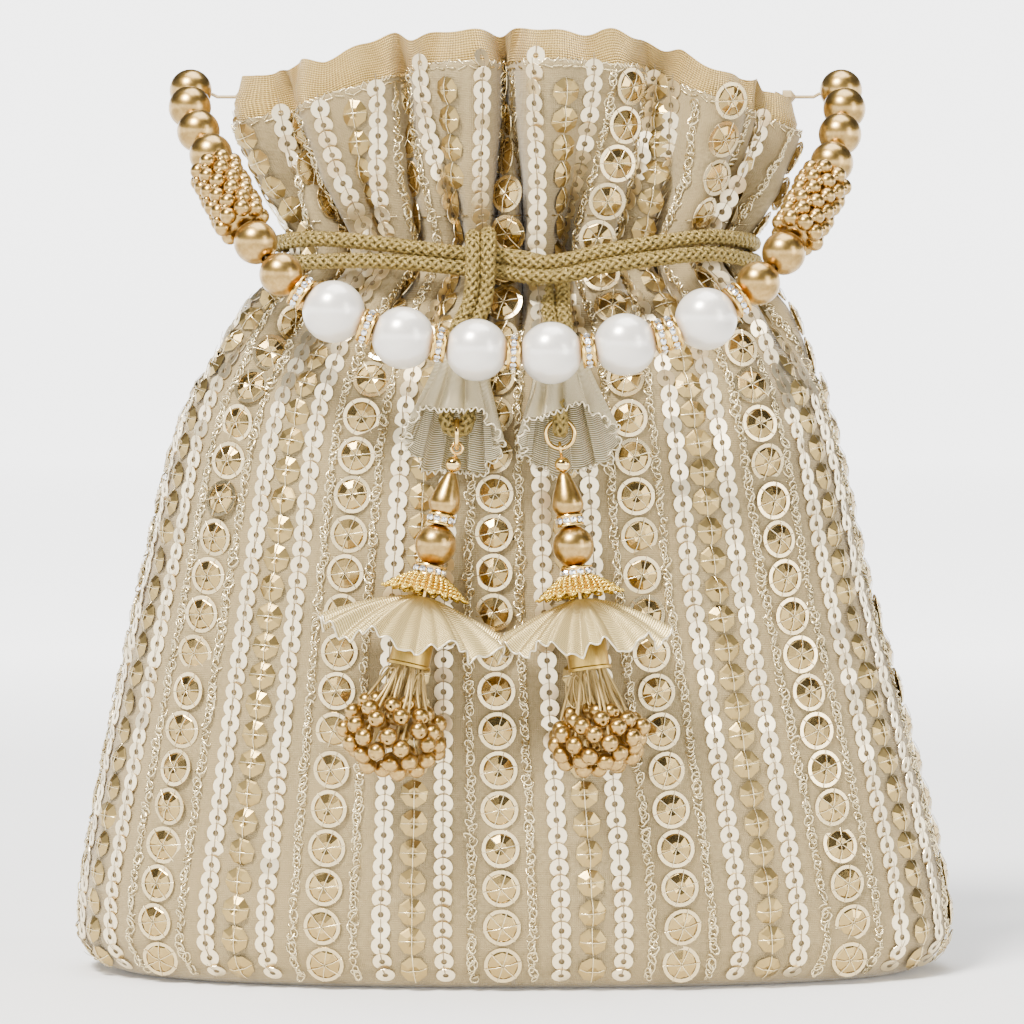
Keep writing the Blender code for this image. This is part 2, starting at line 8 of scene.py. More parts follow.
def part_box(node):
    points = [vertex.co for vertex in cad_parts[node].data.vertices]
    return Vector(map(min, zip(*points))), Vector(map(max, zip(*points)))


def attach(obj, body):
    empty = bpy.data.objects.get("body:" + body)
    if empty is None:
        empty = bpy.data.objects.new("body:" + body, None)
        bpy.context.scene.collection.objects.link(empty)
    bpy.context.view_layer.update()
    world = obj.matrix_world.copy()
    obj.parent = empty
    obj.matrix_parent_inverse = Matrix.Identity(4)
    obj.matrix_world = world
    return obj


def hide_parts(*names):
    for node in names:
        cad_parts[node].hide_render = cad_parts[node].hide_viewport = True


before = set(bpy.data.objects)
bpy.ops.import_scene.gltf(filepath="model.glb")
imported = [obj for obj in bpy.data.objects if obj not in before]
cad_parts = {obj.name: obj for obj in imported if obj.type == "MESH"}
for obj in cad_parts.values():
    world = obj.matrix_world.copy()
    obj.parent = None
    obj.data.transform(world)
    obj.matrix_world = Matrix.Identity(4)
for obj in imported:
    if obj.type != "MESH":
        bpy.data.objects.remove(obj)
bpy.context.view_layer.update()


# Outer cloth: soft beige woven cloth, cut from one strip and gathered by the drawstring into a neck with a
# loose ruffle above it, and stitched to the lining along its top edge. The lining and sequins follow its shape.
TURN = 0.462
NECK = 0.1668
CREST = 0.2215
GATHERS = 26
RUFFLES = 11
LONG_FOLDS = 13
BODY = np.array(
    [
        (0.0000, 0.0915, 0.0345), (0.0012, 0.0955, 0.0375), (0.0047, 0.0995, 0.0405), (0.0093, 0.1016, 0.0420),
        (0.0187, 0.1008, 0.0428), (0.0303, 0.0984, 0.0430), (0.0420, 0.0957, 0.0428), (0.0537, 0.0930, 0.0425),
        (0.0653, 0.0903, 0.0420), (0.0770, 0.0874, 0.0413), (0.0887, 0.0845, 0.0405), (0.1000, 0.0820, 0.0396),
        (0.1120, 0.0796, 0.0386), (0.1237, 0.0770, 0.0374), (0.1353, 0.0730, 0.0354), (0.1470, 0.0664, 0.0314),
        (0.1540, 0.0608, 0.0262), (0.1587, 0.0556, 0.0224), (0.1628, 0.0508, 0.0194), (0.1668, 0.0488, 0.0180),
        (0.1715, 0.0490, 0.0182), (0.1780, 0.0524, 0.0202), (0.1880, 0.0568, 0.0226), (0.2040, 0.0604, 0.0248),
        (0.2173, 0.0626, 0.0262), (0.2215, 0.0630, 0.0264),
    ]
)
LEAN = np.array([(0.0, 0.0), (0.03, -0.0006), (0.09, -0.0026), (0.13, -0.0026), (0.165, 0.0), (0.2215, 0.0)])
LINING_RIM = np.array(
    [(-0.068, 0.2050), (-0.0595, 0.2082), (-0.0436, 0.2112), (-0.0390, 0.2136), (-0.0273, 0.2164), (-0.0040, 0.2174),
     (0.0194, 0.2174), (0.0287, 0.2158), (0.0427, 0.2105), (0.0567, 0.2058), (0.0690, 0.2005)]
)
CLOTH_RIM = np.array(
    [(-0.066, 0.1970), (-0.0506, 0.2000), (-0.0436, 0.2028), (-0.0273, 0.2078), (-0.0180, 0.2102), (0.0100, 0.2106),
     (0.0287, 0.2096), (0.0427, 0.2036), (0.0660, 0.1953)]
)


def outline(half_width, half_depth, angle):
    c, s = np.cos(angle), np.sin(angle)
    return half_width * np.sign(c) * np.abs(c) ** 0.87, half_depth * np.sign(s) * np.abs(s) ** 0.87


def angle_table():
    """Angles that are evenly spaced round the body as the cloth lies, from the middle of the front."""
    angle = np.linspace(0, 2 * math.pi, 2001) - math.pi / 2
    x, y = outline(0.0914, 0.0420, angle)
    run = np.concatenate([[0], np.cumsum(np.hypot(np.diff(x), np.diff(y)))])
    return run / run[-1], angle


TABLE = angle_table()


def smooth_step(low, high, value):
    t = np.clip((value - low) / (high - low), 0, 1)
    return t * t * (3 - 2 * t)


def wave(phase, softness):
    """A fold: a rounded crest outwards and a tighter crease between two folds, from -1 to 1."""
    return (np.sqrt(np.cos(phase / 2) ** 2 + softness) - 0.62) / 0.45


def surface(turn, height, inset=0.0):
    """Points of the cloth. turn is 0 at the front's middle and 1 after a full turn to the viewer's right."""
    turn, height = np.broadcast_arrays(np.asarray(turn, float), np.asarray(height, float))
    angle = np.interp(turn % 1.0, *TABLE)
    half_width = np.interp(height, BODY[:, 0], BODY[:, 1])
    half_depth = np.interp(height, BODY[:, 0], BODY[:, 2])
    t = 2 * math.pi * turn
    gather = GATHERS * t + 1.1 * np.sin(3 * t + 1.0) + 0.9 * np.sin(7 * t + 0.4) + 0.5 * np.sin(11 * t)
    ruffle = RUFFLES * t + 1.0 * np.sin(2 * t + 2.2) + 0.8 * np.sin(5 * t + 0.5) + 2.6
    near = smooth_step(0.136, 0.161, height) * (1 - 0.55 * smooth_step(0.172, 0.205, height))
    fine = near**1.5 * 0.0046 * (1 + 0.40 * np.sin(5 * t + 1.7)) * wave(gather, 0.02)
    long_folds = smooth_step(0.090, 0.158, height) ** 2 * 0.0016 * np.sin(LONG_FOLDS * t + 1.3 * np.sin(2 * t))
    loose = smooth_step(0.168, 0.212, height)
    relaxed = 1 - 0.60 * smooth_step(0.2125, CREST, height)
    frill = relaxed * loose * 0.0068 * (1 + 0.30 * np.sin(3 * t + 0.8)) * wave(ruffle, 0.012)
    soft = 0.0006 * np.sin(4 * t + 26 * height) * smooth_step(0.004, 0.03, height)
    out = fine + long_folds * (1 - loose) + frill + soft - inset
    x, y = outline(half_width, half_depth, angle)
    nx, ny = np.cos(angle) / half_width, np.sin(angle) / half_depth
    length = np.hypot(nx, ny)
    slide = 0.0030 * relaxed * loose * np.sin(ruffle) + 0.0011 * near**1.5 * (1 - loose) * np.sin(gather)
    x = x + (out * nx - slide * ny) / length + np.interp(height, LEAN[:, 0], LEAN[:, 1])
    y = y + (out * ny + slide * nx) / length
    rim = np.interp(x, LINING_RIM[:, 0], LINING_RIM[:, 1]) + 0.0007 * np.sin(17 * t) + 0.0005 * np.sin(31 * t + 1)
    z = np.where(height > NECK, NECK + (height - NECK) * (rim - NECK) / (CREST - NECK), height)
    return np.stack([x, y, z], -1)


def cloth_top(turn):
    """Height, counted as surface() does, of the embroidered cloth's stitched edge."""
    p = surface(turn, np.full_like(turn, CREST))
    edge = np.interp(p[:, 0], CLOTH_RIM[:, 0], CLOTH_RIM[:, 1])
    return NECK + (edge - NECK) * (CREST - NECK) / (p[:, 2] - NECK)


def heights(low, high, rows):
    """Row heights, closer together where the cloth curves round the base and at the neck."""
    t = np.linspace(0, 1, rows)
    return low + (high - low) * (t - 0.06 * np.sin(2 * math.pi * t))


class Value:
    """One socket of a material's node tree. Arithmetic on it adds Math nodes."""

    def __init__(self, tree, socket):
        self.tree = tree
        self.socket = socket

    def math(self, operation, *others):
        node = self.tree.nodes.new("ShaderNodeMath")
        node.operation = operation
        for place, item in zip(node.inputs, (self, *others)):
            plug(self.tree, place, item)
        return Value(self.tree, node.outputs[0])

    def __add__(self, other):
        return self.math("ADD", other)

    def __sub__(self, other):
        return self.math("SUBTRACT", other)

    def __mul__(self, other):
        return self.math("MULTIPLY", other)

    def __truediv__(self, other):
        return self.math("DIVIDE", other)

    def __rsub__(self, other):
        return self.math("MULTIPLY", -1.0).math("ADD", other)

    __radd__ = __add__
    __rmul__ = __mul__


def plug(tree, place, item):
    if isinstance(item, Value):
        tree.links.new(item.socket, place)
    else:
        place.default_value = item


class Finish:
    """A Principled material. constants are set on the shader's own sockets, by their names."""

    def __init__(self, name, **constants):
        self.material = bpy.data.materials.new(name)
        self.material.use_nodes = True
        self.tree = self.material.node_tree
        self.shader = self.tree.nodes["Principled BSDF"]
        for key, item in constants.items():
            socket = self.shader.inputs[key.replace("_", " ")]
            socket.default_value = (*item, 1.0) if isinstance(item, tuple) and len(item) == 3 else item

    def node(self, kind, settings=None, output=0, **inputs):
        node = self.tree.nodes.new("ShaderNode" + kind)
        for key, item in (settings or {}).items():
            setattr(node, key, item)
        for key, item in inputs.items():
            plug(self.tree, node.inputs[key.replace("_", " ")], item)
        return Value(self.tree, node.outputs[output])

    def uv(self, across, along):
        """The cloth's own coordinates, scaled so that one unit is one repeat."""
        uv = self.node("UVMap", {"uv_map": "cloth"})
        return self.node("Mapping", Vector=uv, Scale=(across, along, 1.0))

    def mix(self, factor, low, high):
        node = self.tree.nodes.new("ShaderNodeMix")
        node.data_type = "RGBA"
        plug(self.tree, node.inputs["Factor"], factor)
        colours = [i for i in node.inputs if i.type == "RGBA"]
        plug(self.tree, colours[0], low if isinstance(low, Value) else (*low, 1.0))
        plug(self.tree, colours[1], high if isinstance(high, Value) else (*high, 1.0))
        return Value(self.tree, [o for o in node.outputs if o.type == "RGBA"][0])

    def ramp(self, value, low, high):
        return self.node("MapRange", None, 0, Value=value, From_Min=low, From_Max=high)

    def set(self, **inputs):
        for key, item in inputs.items():
            plug(self.tree, self.shader.inputs[key.replace("_", " ")], item)
        return self

    def bump(self, height, distance, strength=1.0):
        normal = self.node("Bump", None, 0, Height=height, Distance=distance, Strength=strength)
        return self.set(Normal=normal)


def add_mesh(name, points, faces, finish, body="bag", smooth=True, uvs=None):
    """One mesh object that rides on a CAD body. uvs holds a point of the cloth's own coordinates per vertex."""
    mesh = bpy.data.meshes.new(name)
    mesh.from_pydata(np.asarray(points).tolist(), [], faces)
    if uvs is not None:
        layer = mesh.uv_layers.new(name="cloth")
        index = np.empty(len(mesh.loops), np.int32)
        mesh.loops.foreach_get("vertex_index", index)
        layer.data.foreach_set("uv", np.asarray(uvs, np.float32)[index].ravel())
    if smooth:
        mesh.shade_smooth()
    mesh.materials.append(finish.material)
    obj = bpy.data.objects.new(name, mesh)
    bpy.context.scene.collection.objects.link(obj)
    if body:
        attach(obj, body)
    return obj


def grid_faces(rows, columns, around=True):
    """Quads of a grid of points in rows; around joins the last column to the first."""
    i, j = np.meshgrid(np.arange(rows - 1), np.arange(columns if around else columns - 1), indexing="ij")
    right = (j + 1) % columns
    low, high = i * columns, (i + 1) * columns
    return np.stack([low + j, low + right, high + right, high + j], -1).reshape(-1, 4)


ground = Finish("beige_cloth", Roughness=0.85, Sheen_Weight=0.35, Sheen_Roughness=0.4)
nap = ground.node("TexNoise", None, 0, Vector=ground.uv(900.0, 900.0), Scale=1.0, Detail=4.0, Roughness=0.6)
patch = ground.node("TexNoise", None, 0, Vector=ground.uv(60.0, 60.0), Scale=1.0, Detail=2.0)
ACROSS = {"wave_type": "BANDS", "bands_direction": "X"}
ALONG = {"wave_type": "BANDS", "bands_direction": "Y"}
warp = ground.node("TexWave", ACROSS, 1, Vector=ground.uv(1500.0, 1500.0), Scale=0.5)
weft = ground.node("TexWave", ALONG, 1, Vector=ground.uv(1500.0, 1500.0), Scale=0.5)
tone = ground.mix(ground.ramp(nap, 0.3, 0.7), (0.215, 0.158, 0.070), (0.330, 0.252, 0.120))
ground.set(Base_Color=ground.mix(ground.ramp(patch, 0.35, 0.7), tone, (0.30, 0.22, 0.10)))
ground.bump(nap * 0.8 + warp * 0.3 + weft * 0.3, 0.0003, 0.6)

COLUMNS, ROWS = 520, 126
BASE_SHARES = (0.75, 0.5, 0.25, 0.02)
turns = np.arange(COLUMNS) / COLUMNS
share = heights(0.0, 1.0, ROWS)
cloth_grid = surface(turns[None, :], share[:, None] * cloth_top(turns)[None, :])
hem = surface(turns, cloth_top(turns) - 0.0004, 0.0009)
cloth_points = np.concatenate([cloth_grid.reshape(-1, 3), hem])
cloth_faces = grid_faces(ROWS + 1, COLUMNS).tolist()
base_rings = [cloth_grid[0] * (k, k, 1) + (0, 0, 0.0003 * (1 - k)) for k in BASE_SHARES]
first = len(cloth_points)
cloth_points = np.concatenate([cloth_points, *base_rings])
for k in range(len(BASE_SHARES)):
    low = 0 if k == 0 else first + (k - 1) * COLUMNS
    high = first + k * COLUMNS
    cloth_faces += [(high + i, high + (i + 1) % COLUMNS, low + (i + 1) % COLUMNS, low + i) for i in range(COLUMNS)]
cloth_faces.append(tuple(range(high, high + COLUMNS))[::-1])
cloth_uv = np.zeros((len(cloth_points), 2))
cloth_uv[: ROWS * COLUMNS, 0] = np.tile(turns * TURN, ROWS)
cloth_uv[: ROWS * COLUMNS, 1] = (share[:, None] * cloth_top(turns)[None, :]).ravel()
cloth_uv[ROWS * COLUMNS : first, 0] = turns * TURN
cloth_uv[ROWS * COLUMNS : first, 1] = 0.21
cloth_uv[first:] = cloth_points[first:, :2]
outer = add_mesh("bag_cloth", cloth_points, cloth_faces, ground, uvs=cloth_uv)
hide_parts("outer_cloth")

# Lining: thin gold tissue that crumples easily, sewn in behind the cloth. It stands above the embroidered cloth
# as a plain band, and goes down inside the bag to cover the card in the base.
tissue = Finish("gold_tissue", Metallic=0.55, Roughness=0.42, Sheen_Weight=0.2)
crumple = tissue.node("TexNoise", None, 0, Vector=tissue.uv(120.0, 60.0), Scale=1.0, Detail=5.0, Roughness=0.65)
ribs = tissue.node("TexWave", ACROSS, 1, Vector=tissue.uv(1000.0, 1000.0), Scale=0.5, Distortion=0.6)
picks = tissue.node("TexWave", ALONG, 1, Vector=tissue.uv(1000.0, 1000.0), Scale=0.5, Distortion=0.6)
sheen = tissue.ramp(crumple * 0.5 + ribs * 0.3 + picks * 0.3, 0.25, 0.75)
tissue.set(Base_Color=tissue.mix(sheen, (0.29, 0.175, 0.038), (0.66, 0.45, 0.13)))
tissue.bump(crumple * 0.8 + ribs * 0.3 + picks * 0.3, 0.0010, 0.8)

LINING_ROWS = 58
LINING_FLOOR = 0.0030
LINING_INSET = 0.0013
FLOOR_SHARES = (0.7, 0.4, 0.05)
lining_heights = np.linspace(LINING_FLOOR, CREST, LINING_ROWS)
lining_grid = surface(turns[None, :], lining_heights[:, None], LINING_INSET)
floor_ring = [lining_grid[0] * (k, k, 1) for k in FLOOR_SHARES]
lining_points = np.concatenate([lining_grid.reshape(-1, 3), *floor_ring])
lining_faces = [f[::-1] for f in grid_faces(LINING_ROWS, COLUMNS).tolist()]
first = LINING_ROWS * COLUMNS
for k in range(len(FLOOR_SHARES)):
    low = 0 if k == 0 else first + (k - 1) * COLUMNS
    high = first + k * COLUMNS
    lining_faces += [(low + i, low + (i + 1) % COLUMNS, high + (i + 1) % COLUMNS, high + i) for i in range(COLUMNS)]
lining_faces.append(tuple(range(high, high + COLUMNS)))
lining_uv = np.zeros((len(lining_points), 2))
lining_uv[:first, 0] = np.tile(turns * TURN, LINING_ROWS)
lining_uv[:first, 1] = np.repeat(lining_heights, COLUMNS)
lining_uv[first:] = lining_points[first:, :2]
lining = add_mesh("bag_lining", lining_points, lining_faces, tissue, uvs=lining_uv)
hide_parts("lining", "base_board")


# Sequin stripes, sewn on by hand. Every period of the pattern has one column of rosettes, a chain stitch each
# side of it, a scaled chain of small flat sequins each side of that, and a column of cupped sequins between.
PERIODS = 12
FIRST_ROSETTE = -0.0026
CHAIN_AT = 0.0065
SMALL_AT = 0.0126
CUPPED_AT = 0.01925
ROSETTE_PITCH = 0.0089
CUPPED_PITCH = 0.0067
SMALL_PITCH = 0.0036
LINK_PITCH = 0.00094
CHANNEL_HEIGHT = 0.1762
rng = np.random.default_rng(7)


def scatter(name, template, frames, finish, body="bag", smooth=True):
    """Copies of a (points, faces) template at frames (n, 4, 3): origin, side, along and outward, as one mesh."""
    points, faces = template
    points = np.asarray(points, float)
    placed = frames[:, None, 0] + np.einsum("pk,nkc->npc", points, frames[:, 1:4])
    count = len(frames)
    joined = []
    for k in range(count):
        joined.extend([tuple(i + k * len(points) for i in face) for face in faces])
    return add_mesh(name, placed.reshape(-1, 3), joined, finish, body, smooth)


def column_frames(offset, pitch, low=0.0025, inset_top=0.0020, lift=0.0004, jitter=0.0, tilt=0.0):
    """Frames of pieces sewn a pitch apart up each repeat of a column, on the cloth and square to it."""
    made = []
    for period in range(PERIODS):
        turn = (FIRST_ROSETTE + offset) / TURN + period / PERIODS
        top = float(cloth_top(np.array([turn]))[0]) - inset_top
        h = np.linspace(low, top, 1200)
        line = surface(turn, h)
        run = np.concatenate([[0], np.cumsum(np.linalg.norm(np.diff(line, axis=0), axis=1))])
        at = np.interp(np.arange(pitch / 2, run[-1], pitch), run, h)
        step = 0.0004
        here = surface(turn, at)
        along = surface(turn, at + step) - surface(turn, at - step)
        side = surface(turn + step / TURN, at) - surface(turn - step / TURN, at)
        along /= np.linalg.norm(along, axis=1)[:, None]
        side -= along * np.sum(side * along, axis=1)[:, None]
        side /= np.linalg.norm(side, axis=1)[:, None]
        out = np.cross(side, along)
        if jitter:
            spin = rng.normal(0, jitter, (len(at), 2))
            out = out + spin[:, :1] * side + (spin[:, 1:] + tilt) * along
            out /= np.linalg.norm(out, axis=1)[:, None]
            along = along - out * np.sum(along * out, axis=1)[:, None]
            along /= np.linalg.norm(along, axis=1)[:, None]
            side = np.cross(along, out)
        made.append(np.stack([here + lift * out, side, along, out], axis=1))
    return np.concatenate(made)


def ring_plate(rings, steps, turn=0.0):
    """Rings of points (radius, height), joined by quads: a washer, a cup or a dish."""
    angle = 2 * math.pi * np.arange(steps) / steps + turn
    points = np.concatenate([np.stack([r * np.cos(angle), r * np.sin(angle), np.full(steps, z)], -1) for r, z in rings])
    return points, [tuple(f) for f in grid_faces(len(rings), steps)[:, ::-1].tolist()]


silver = Finish("pale_sequin", Metallic=1.0, Roughness=0.24, Base_Color=(0.76, 0.61, 0.34))
gilt = Finish("gold_sequin", Metallic=1.0, Roughness=0.22, Base_Color=(0.44, 0.31, 0.12))
antique = Finish("antique_sequin", Metallic=1.0, Roughness=0.34, Base_Color=(0.42, 0.30, 0.115))
small_finish = Finish("small_sequin", Metallic=0.95, Roughness=0.30, Base_Color=(0.94, 0.80, 0.52))
zari = Finish("metallic_thread", Metallic=0.95, Roughness=0.26, Base_Color=(0.72, 0.60, 0.35))

rosettes = column_frames(0.0, ROSETTE_PITCH, inset_top=-0.0012, jitter=0.09)
washer = ring_plate([(0.00432, 0.0), (0.00428, 0.00018), (0.00345, 0.00020), (0.0034, 0.0)], 22)
rings = scatter("rosette_rings", washer, rosettes, silver, smooth=False)
cup = ring_plate([(0.00346, 0.00012), (0.0032, 0.00030), (0.0015, 0.00092), (0.0002, 0.0006)], 8)
cups = scatter("rosette_cups", cup, rosettes, gilt, smooth=False)


def add_thread(points, faces, angle, half_width, profile):
    """One stitch that radiates at an angle: a low ridge through (reach, height) points."""
    way = np.array([math.cos(angle), math.sin(angle), 0])
    across = np.array([-math.sin(angle), math.cos(angle), 0]) * half_width
    base = len(points)
    for r, z in profile:
        points += [way * r + across + (0, 0, z), way * r + (0, 0, z + 0.00012), way * r - across + (0, 0, z)]
    for q in range(base, len(points) - 3, 3):
        faces += [(q, q + 3, q + 4, q + 1), (q + 1, q + 4, q + 5, q + 2)]


spokes, spoke_faces = [], []
for k in range(6):
    spoke = ((0.0002, 0.00085), (0.0017, 0.00102), (0.0044, 0.00022))
    add_thread(spokes, spoke_faces, math.pi * k / 3 + 0.2, 0.00010, spoke)
stitches = scatter("rosette_stitches", (spokes, spoke_faces), rosettes, zari)

cupped = column_frames(CUPPED_AT, CUPPED_PITCH, jitter=0.10)
dish = ring_plate([(0.0032, 0.0001), (0.0028, 0.00030), (0.0013, 0.00095), (0.0003, 0.0006)], 8, 0.2)
dishes = scatter("cupped_sequins", dish, cupped, antique, smooth=False)

small_frames = np.concatenate(
    [
        column_frames(offset, SMALL_PITCH, inset_top=-0.0010, jitter=0.10, tilt=-0.12, lift=0.00050)
        for offset in (-SMALL_AT, SMALL_AT)
    ]
)
small = scatter(
    "small_sequins",
    ring_plate([(0.00220, -0.00006), (0.00218, 0.00006), (0.00070, 0.00006)], 14),
    small_frames,
    small_finish,
    smooth=False,
)
holding, holding_faces = [], []
for y, z in ((0.0, 0.00005), (0.0009, 0.00022), (0.0024, 0.00030), (SMALL_PITCH, 0.00010)):
    holding += [(-0.00011, y, z), (0.0, y, z + 0.00010), (0.00011, y, z)]
for k in range(3):
    holding_faces += [(3 * k, 3 * k + 1, 3 * k + 4, 3 * k + 3), (3 * k + 1, 3 * k + 2, 3 * k + 5, 3 * k + 4)]
dull = Finish("sewing_thread", Roughness=0.5, Metallic=0.3, Base_Color=(0.26, 0.19, 0.10))
sewing = scatter("sequin_thread", (holding, holding_faces), small_frames, dull)
cross, cross_faces = [], []
for angle, reach in ((math.pi / 2, 0.0034), (0.0, 0.0029)):
    bar = ((-reach, 0.0001), (-0.0014, 0.00108), (0.0014, 0.00108), (reach, 0.0001))
    add_thread(cross, cross_faces, angle, 0.00011, bar)
crosses = scatter("cupped_stitches", (cross, cross_faces), cupped, zari)

link_angle = 2 * math.pi * np.arange(8) / 8
link_points = []
for a in link_angle:
    middle = np.array([0.0009 * math.cos(a), 0.0014 * math.sin(a) + 0.0001, 0.0003])
    out = np.array([math.cos(a), math.sin(a), 0])
    link_points += [middle + 0.00020 * out, middle + (0, 0, 0.0003), middle - 0.00020 * out]
link_faces = [
    (3 * i + k, 3 * ((i + 1) % 8) + k, 3 * ((i + 1) % 8) + k + 1, 3 * i + k + 1) for i in range(8) for k in (0, 1)
]
links = np.concatenate(
    [column_frames(offset, LINK_PITCH, jitter=0.50, lift=0.0002) for offset in (-CHAIN_AT, CHAIN_AT)]
)
swing = rng.uniform(-0.9, 0.9, len(links))[:, None]
side, along = links[:, 1].copy(), links[:, 2].copy()
links[:, 1] = side * np.cos(swing) + along * np.sin(swing)
links[:, 2] = along * np.cos(swing) - side * np.sin(swing)
links[:, 0] += side * rng.uniform(-0.0004, 0.0004, len(links))[:, None]
links[:, 1:4] *= rng.uniform(0.60, 1.05, len(links))[:, None, None]
chain = scatter("chain_stitch", (link_points, link_faces), links, zari)


def stitch_row(name, height_of, pitch, size, inset, spread=0.0):
    """Short stitches of metallic thread along a line round the bag."""
    turn = np.arange(0, 1, pitch / TURN)
    h = height_of(turn)
    here = surface(turn, h, inset)
    side = surface(turn + 0.0006, height_of(turn + 0.0006), inset) - here
    side /= np.linalg.norm(side, axis=1)[:, None]
    up = surface(turn, h + 0.0004, inset) - here
    out = np.cross(side, up)
    out /= np.linalg.norm(out, axis=1)[:, None]
    if spread:
        swing = rng.uniform(-spread, spread, len(turn))[:, None]
        side = side * np.cos(swing) + np.cross(out, side) * np.sin(swing)
    along = np.cross(out, side)
    points = []
    for x, w in ((-1, 0.35), (-0.5, 1), (0.5, 1), (1, 0.35)):
        for a in range(5):
            b = 2 * math.pi * a / 5
            points.append((x * size[0], w * size[1] * math.cos(b), w * size[1] * math.sin(b)))
    faces = [tuple(f) for f in grid_faces(4, 5).tolist()] + [(0, 1, 2, 3, 4), (19, 18, 17, 16, 15)]
    return scatter(name, (points, faces), np.stack([here + 0.0001 * out, side, along, out], axis=1), zari)


def below_edge(drop):
    return lambda turn: cloth_top(turn) - drop


def along_channel(turn):
    return np.full_like(turn, CHANNEL_HEIGHT)


top_stitches = stitch_row("edge_stitches", below_edge(0.0016), 0.0021, (0.0012, 0.00022), 0.0, 0.5)
overcast = stitch_row("edge_overcast", below_edge(0.0002), 0.0012, (0.0009, 0.00024), 0.0002, 1.2)
channel_stitches = stitch_row("channel_stitches", along_channel, 0.0036, (0.0013, 0.00020), 0.0)


def mesh_area(obj):
    return sum(p.area for p in obj.data.polygons)


# Handle: lacquered plastic pearls and gold beads, rhinestone rondelles and two woven seed-bead sleeves, strung
# tight on nylon thread that is knotted through the side seams. Each piece is made round its own Z axis and
# then placed.
def turned(profile, steps=32):
    """Points and faces of a turned surface from (radius, height) points, top to bottom; zero radii close it."""
    points, faces, rows = [], [], []
    for r, z in profile:
        if r < 1e-7:
            rows.append([len(points)] * steps)
            points.append((0.0, 0.0, z))
        else:
            rows.append(list(range(len(points), len(points) + steps)))
            angles = [2 * math.pi * i / steps for i in range(steps)]
            points += [(r * math.cos(a), r * math.sin(a), z) for a in angles]
    for upper, lower in zip(rows, rows[1:]):
        for i in range(steps):
            j = (i + 1) % steps
            face = [upper[i], lower[i], lower[j], upper[j]]
            faces.append(tuple(dict.fromkeys(face)))
    return points, faces


def placed(part, matrix):
    points, faces = part
    return [tuple(matrix @ Vector(p)) for p in points], faces


def merged(parts):
    points, faces = [], []
    for more, their_faces in parts:
        start = len(points)
        points += [tuple(p) for p in more]
        faces += [tuple(i + start for i in face) for face in their_faces]
    return points, faces


def ball(radius, bore=0.0, arcs=16, steps=28):
    start = math.asin(bore / radius) if bore else 0.0
    rim = [(radius * math.sin(a), radius * math.cos(a)) for a in np.linspace(start, math.pi - start, arcs + 1)]
    if bore:
        rim = [(bore, rim[0][1] - 0.0008), *rim, (bore, rim[-1][1] + 0.0008)]
    return turned(rim, steps)


def axis_matrix(place, way, spin=0.0):
    turn = Vector(way).normalized().to_track_quat("Z", "Y").to_matrix().to_4x4()
    return Matrix.Translation(place) @ turn @ Matrix.Rotation(spin, 4, "Z")


def centre(node):
    low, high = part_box(node)
    return (low + high) / 2


LACQUER = {"Coat_Weight": 0.5, "Coat_Roughness": 0.12}
white_pearl = Finish("white_pearl", Roughness=0.30, Metallic=0.35, Base_Color=(0.80, 0.76, 0.69), **LACQUER)
gold_pearl = Finish("gold_pearl", Metallic=1.0, Roughness=0.30, **LACQUER)
satin = gold_pearl.node("TexNoise", None, 0, Vector=gold_pearl.node("TexCoord", None, 3), Scale=900.0, Detail=2.0)
satin = gold_pearl.ramp(satin, 0.35, 0.65)
gold_pearl.set(Base_Color=gold_pearl.mix(satin, (0.37, 0.225, 0.060), (0.48, 0.310, 0.095)))
gold_metal = Finish("gold_metal", Metallic=1.0, Roughness=0.22, Base_Color=(0.80, 0.52, 0.14))
stone = Finish("clear_stone", Roughness=0.04, Metallic=0.85, Base_Color=(0.84, 0.88, 0.95))
nylon = Finish("nylon_thread", Roughness=0.4, Base_Color=(0.45, 0.33, 0.16))

PEARL_R = 0.00695
GOLD_BEAD_R = 0.00492
THREAD_BORE = 0.0008
RONDELLE_R = 0.0039
RONDELLE_WIDTH = 0.0029
RONDELLE_STONES = 12
STRING = [
    *[f"gold_bead_{i}" for i in range(1, 5)], "seed_tube_left", "gold_bead_5", "gold_bead_6",
    "rondelle_1", "pearl_1", "rondelle_2", "pearl_2", "rondelle_3", "pearl_3", "rondelle_4", "pearl_4",
    "rondelle_5", "pearl_5", "rondelle_6", "rondelle_7", "pearl_6", "rondelle_8",
    "gold_bead_7", "gold_bead_8", "seed_tube_right", *[f"gold_bead_{i}" for i in range(9, 13)],
]
string_at = [centre(name) for name in STRING]
bead_way = {}
for i, name in enumerate(STRING):
    before, after = string_at[max(i - 1, 0)], string_at[min(i + 1, len(STRING) - 1)]
    bead_way[name] = (after - before).normalized()


def setting(radius, width, stones):
    """A rhinestone rondelle: two gold plates with a beaded rim, and clear stones set round between them."""
    half = width / 2
    plates = []
    for side in (-1, 1):
        z = side * half
        inner = z - side * width * 0.2
        rim = [(0.0009, z), (radius * 0.97, z), (radius, z - side * width * 0.10), (radius * 0.97, inner)]
        plates.append(turned([*rim, (0.0009, inner)], 32))
    plates.append(turned([(radius * 0.80, half * 0.8), (radius * 0.80, -half * 0.8)], 24))
    claws, stones_made = [], []
    size = min(width * 0.36, math.pi * radius * 0.86 / stones)
    for k in range(stones):
        a = 2 * math.pi * k / stones
        out = Vector((math.cos(a), math.sin(a), 0))
        facets = [(0.0, size * 0.62), (size * 0.55, size * 0.55), (size, size * 0.12), (size * 0.72, -size * 0.3)]
        gem = turned(facets, 8)
        stones_made.append(placed(gem, axis_matrix(out * radius * 0.87, out, 0.3)))
        b = a + math.pi / stones
        claw = Vector((math.cos(b), math.sin(b), 0)) * radius * 0.93
        claws.append(placed(ball(size * 0.30, arcs=5, steps=6), Matrix.Translation(claw)))
    return merged(plates + claws), merged(stones_made)


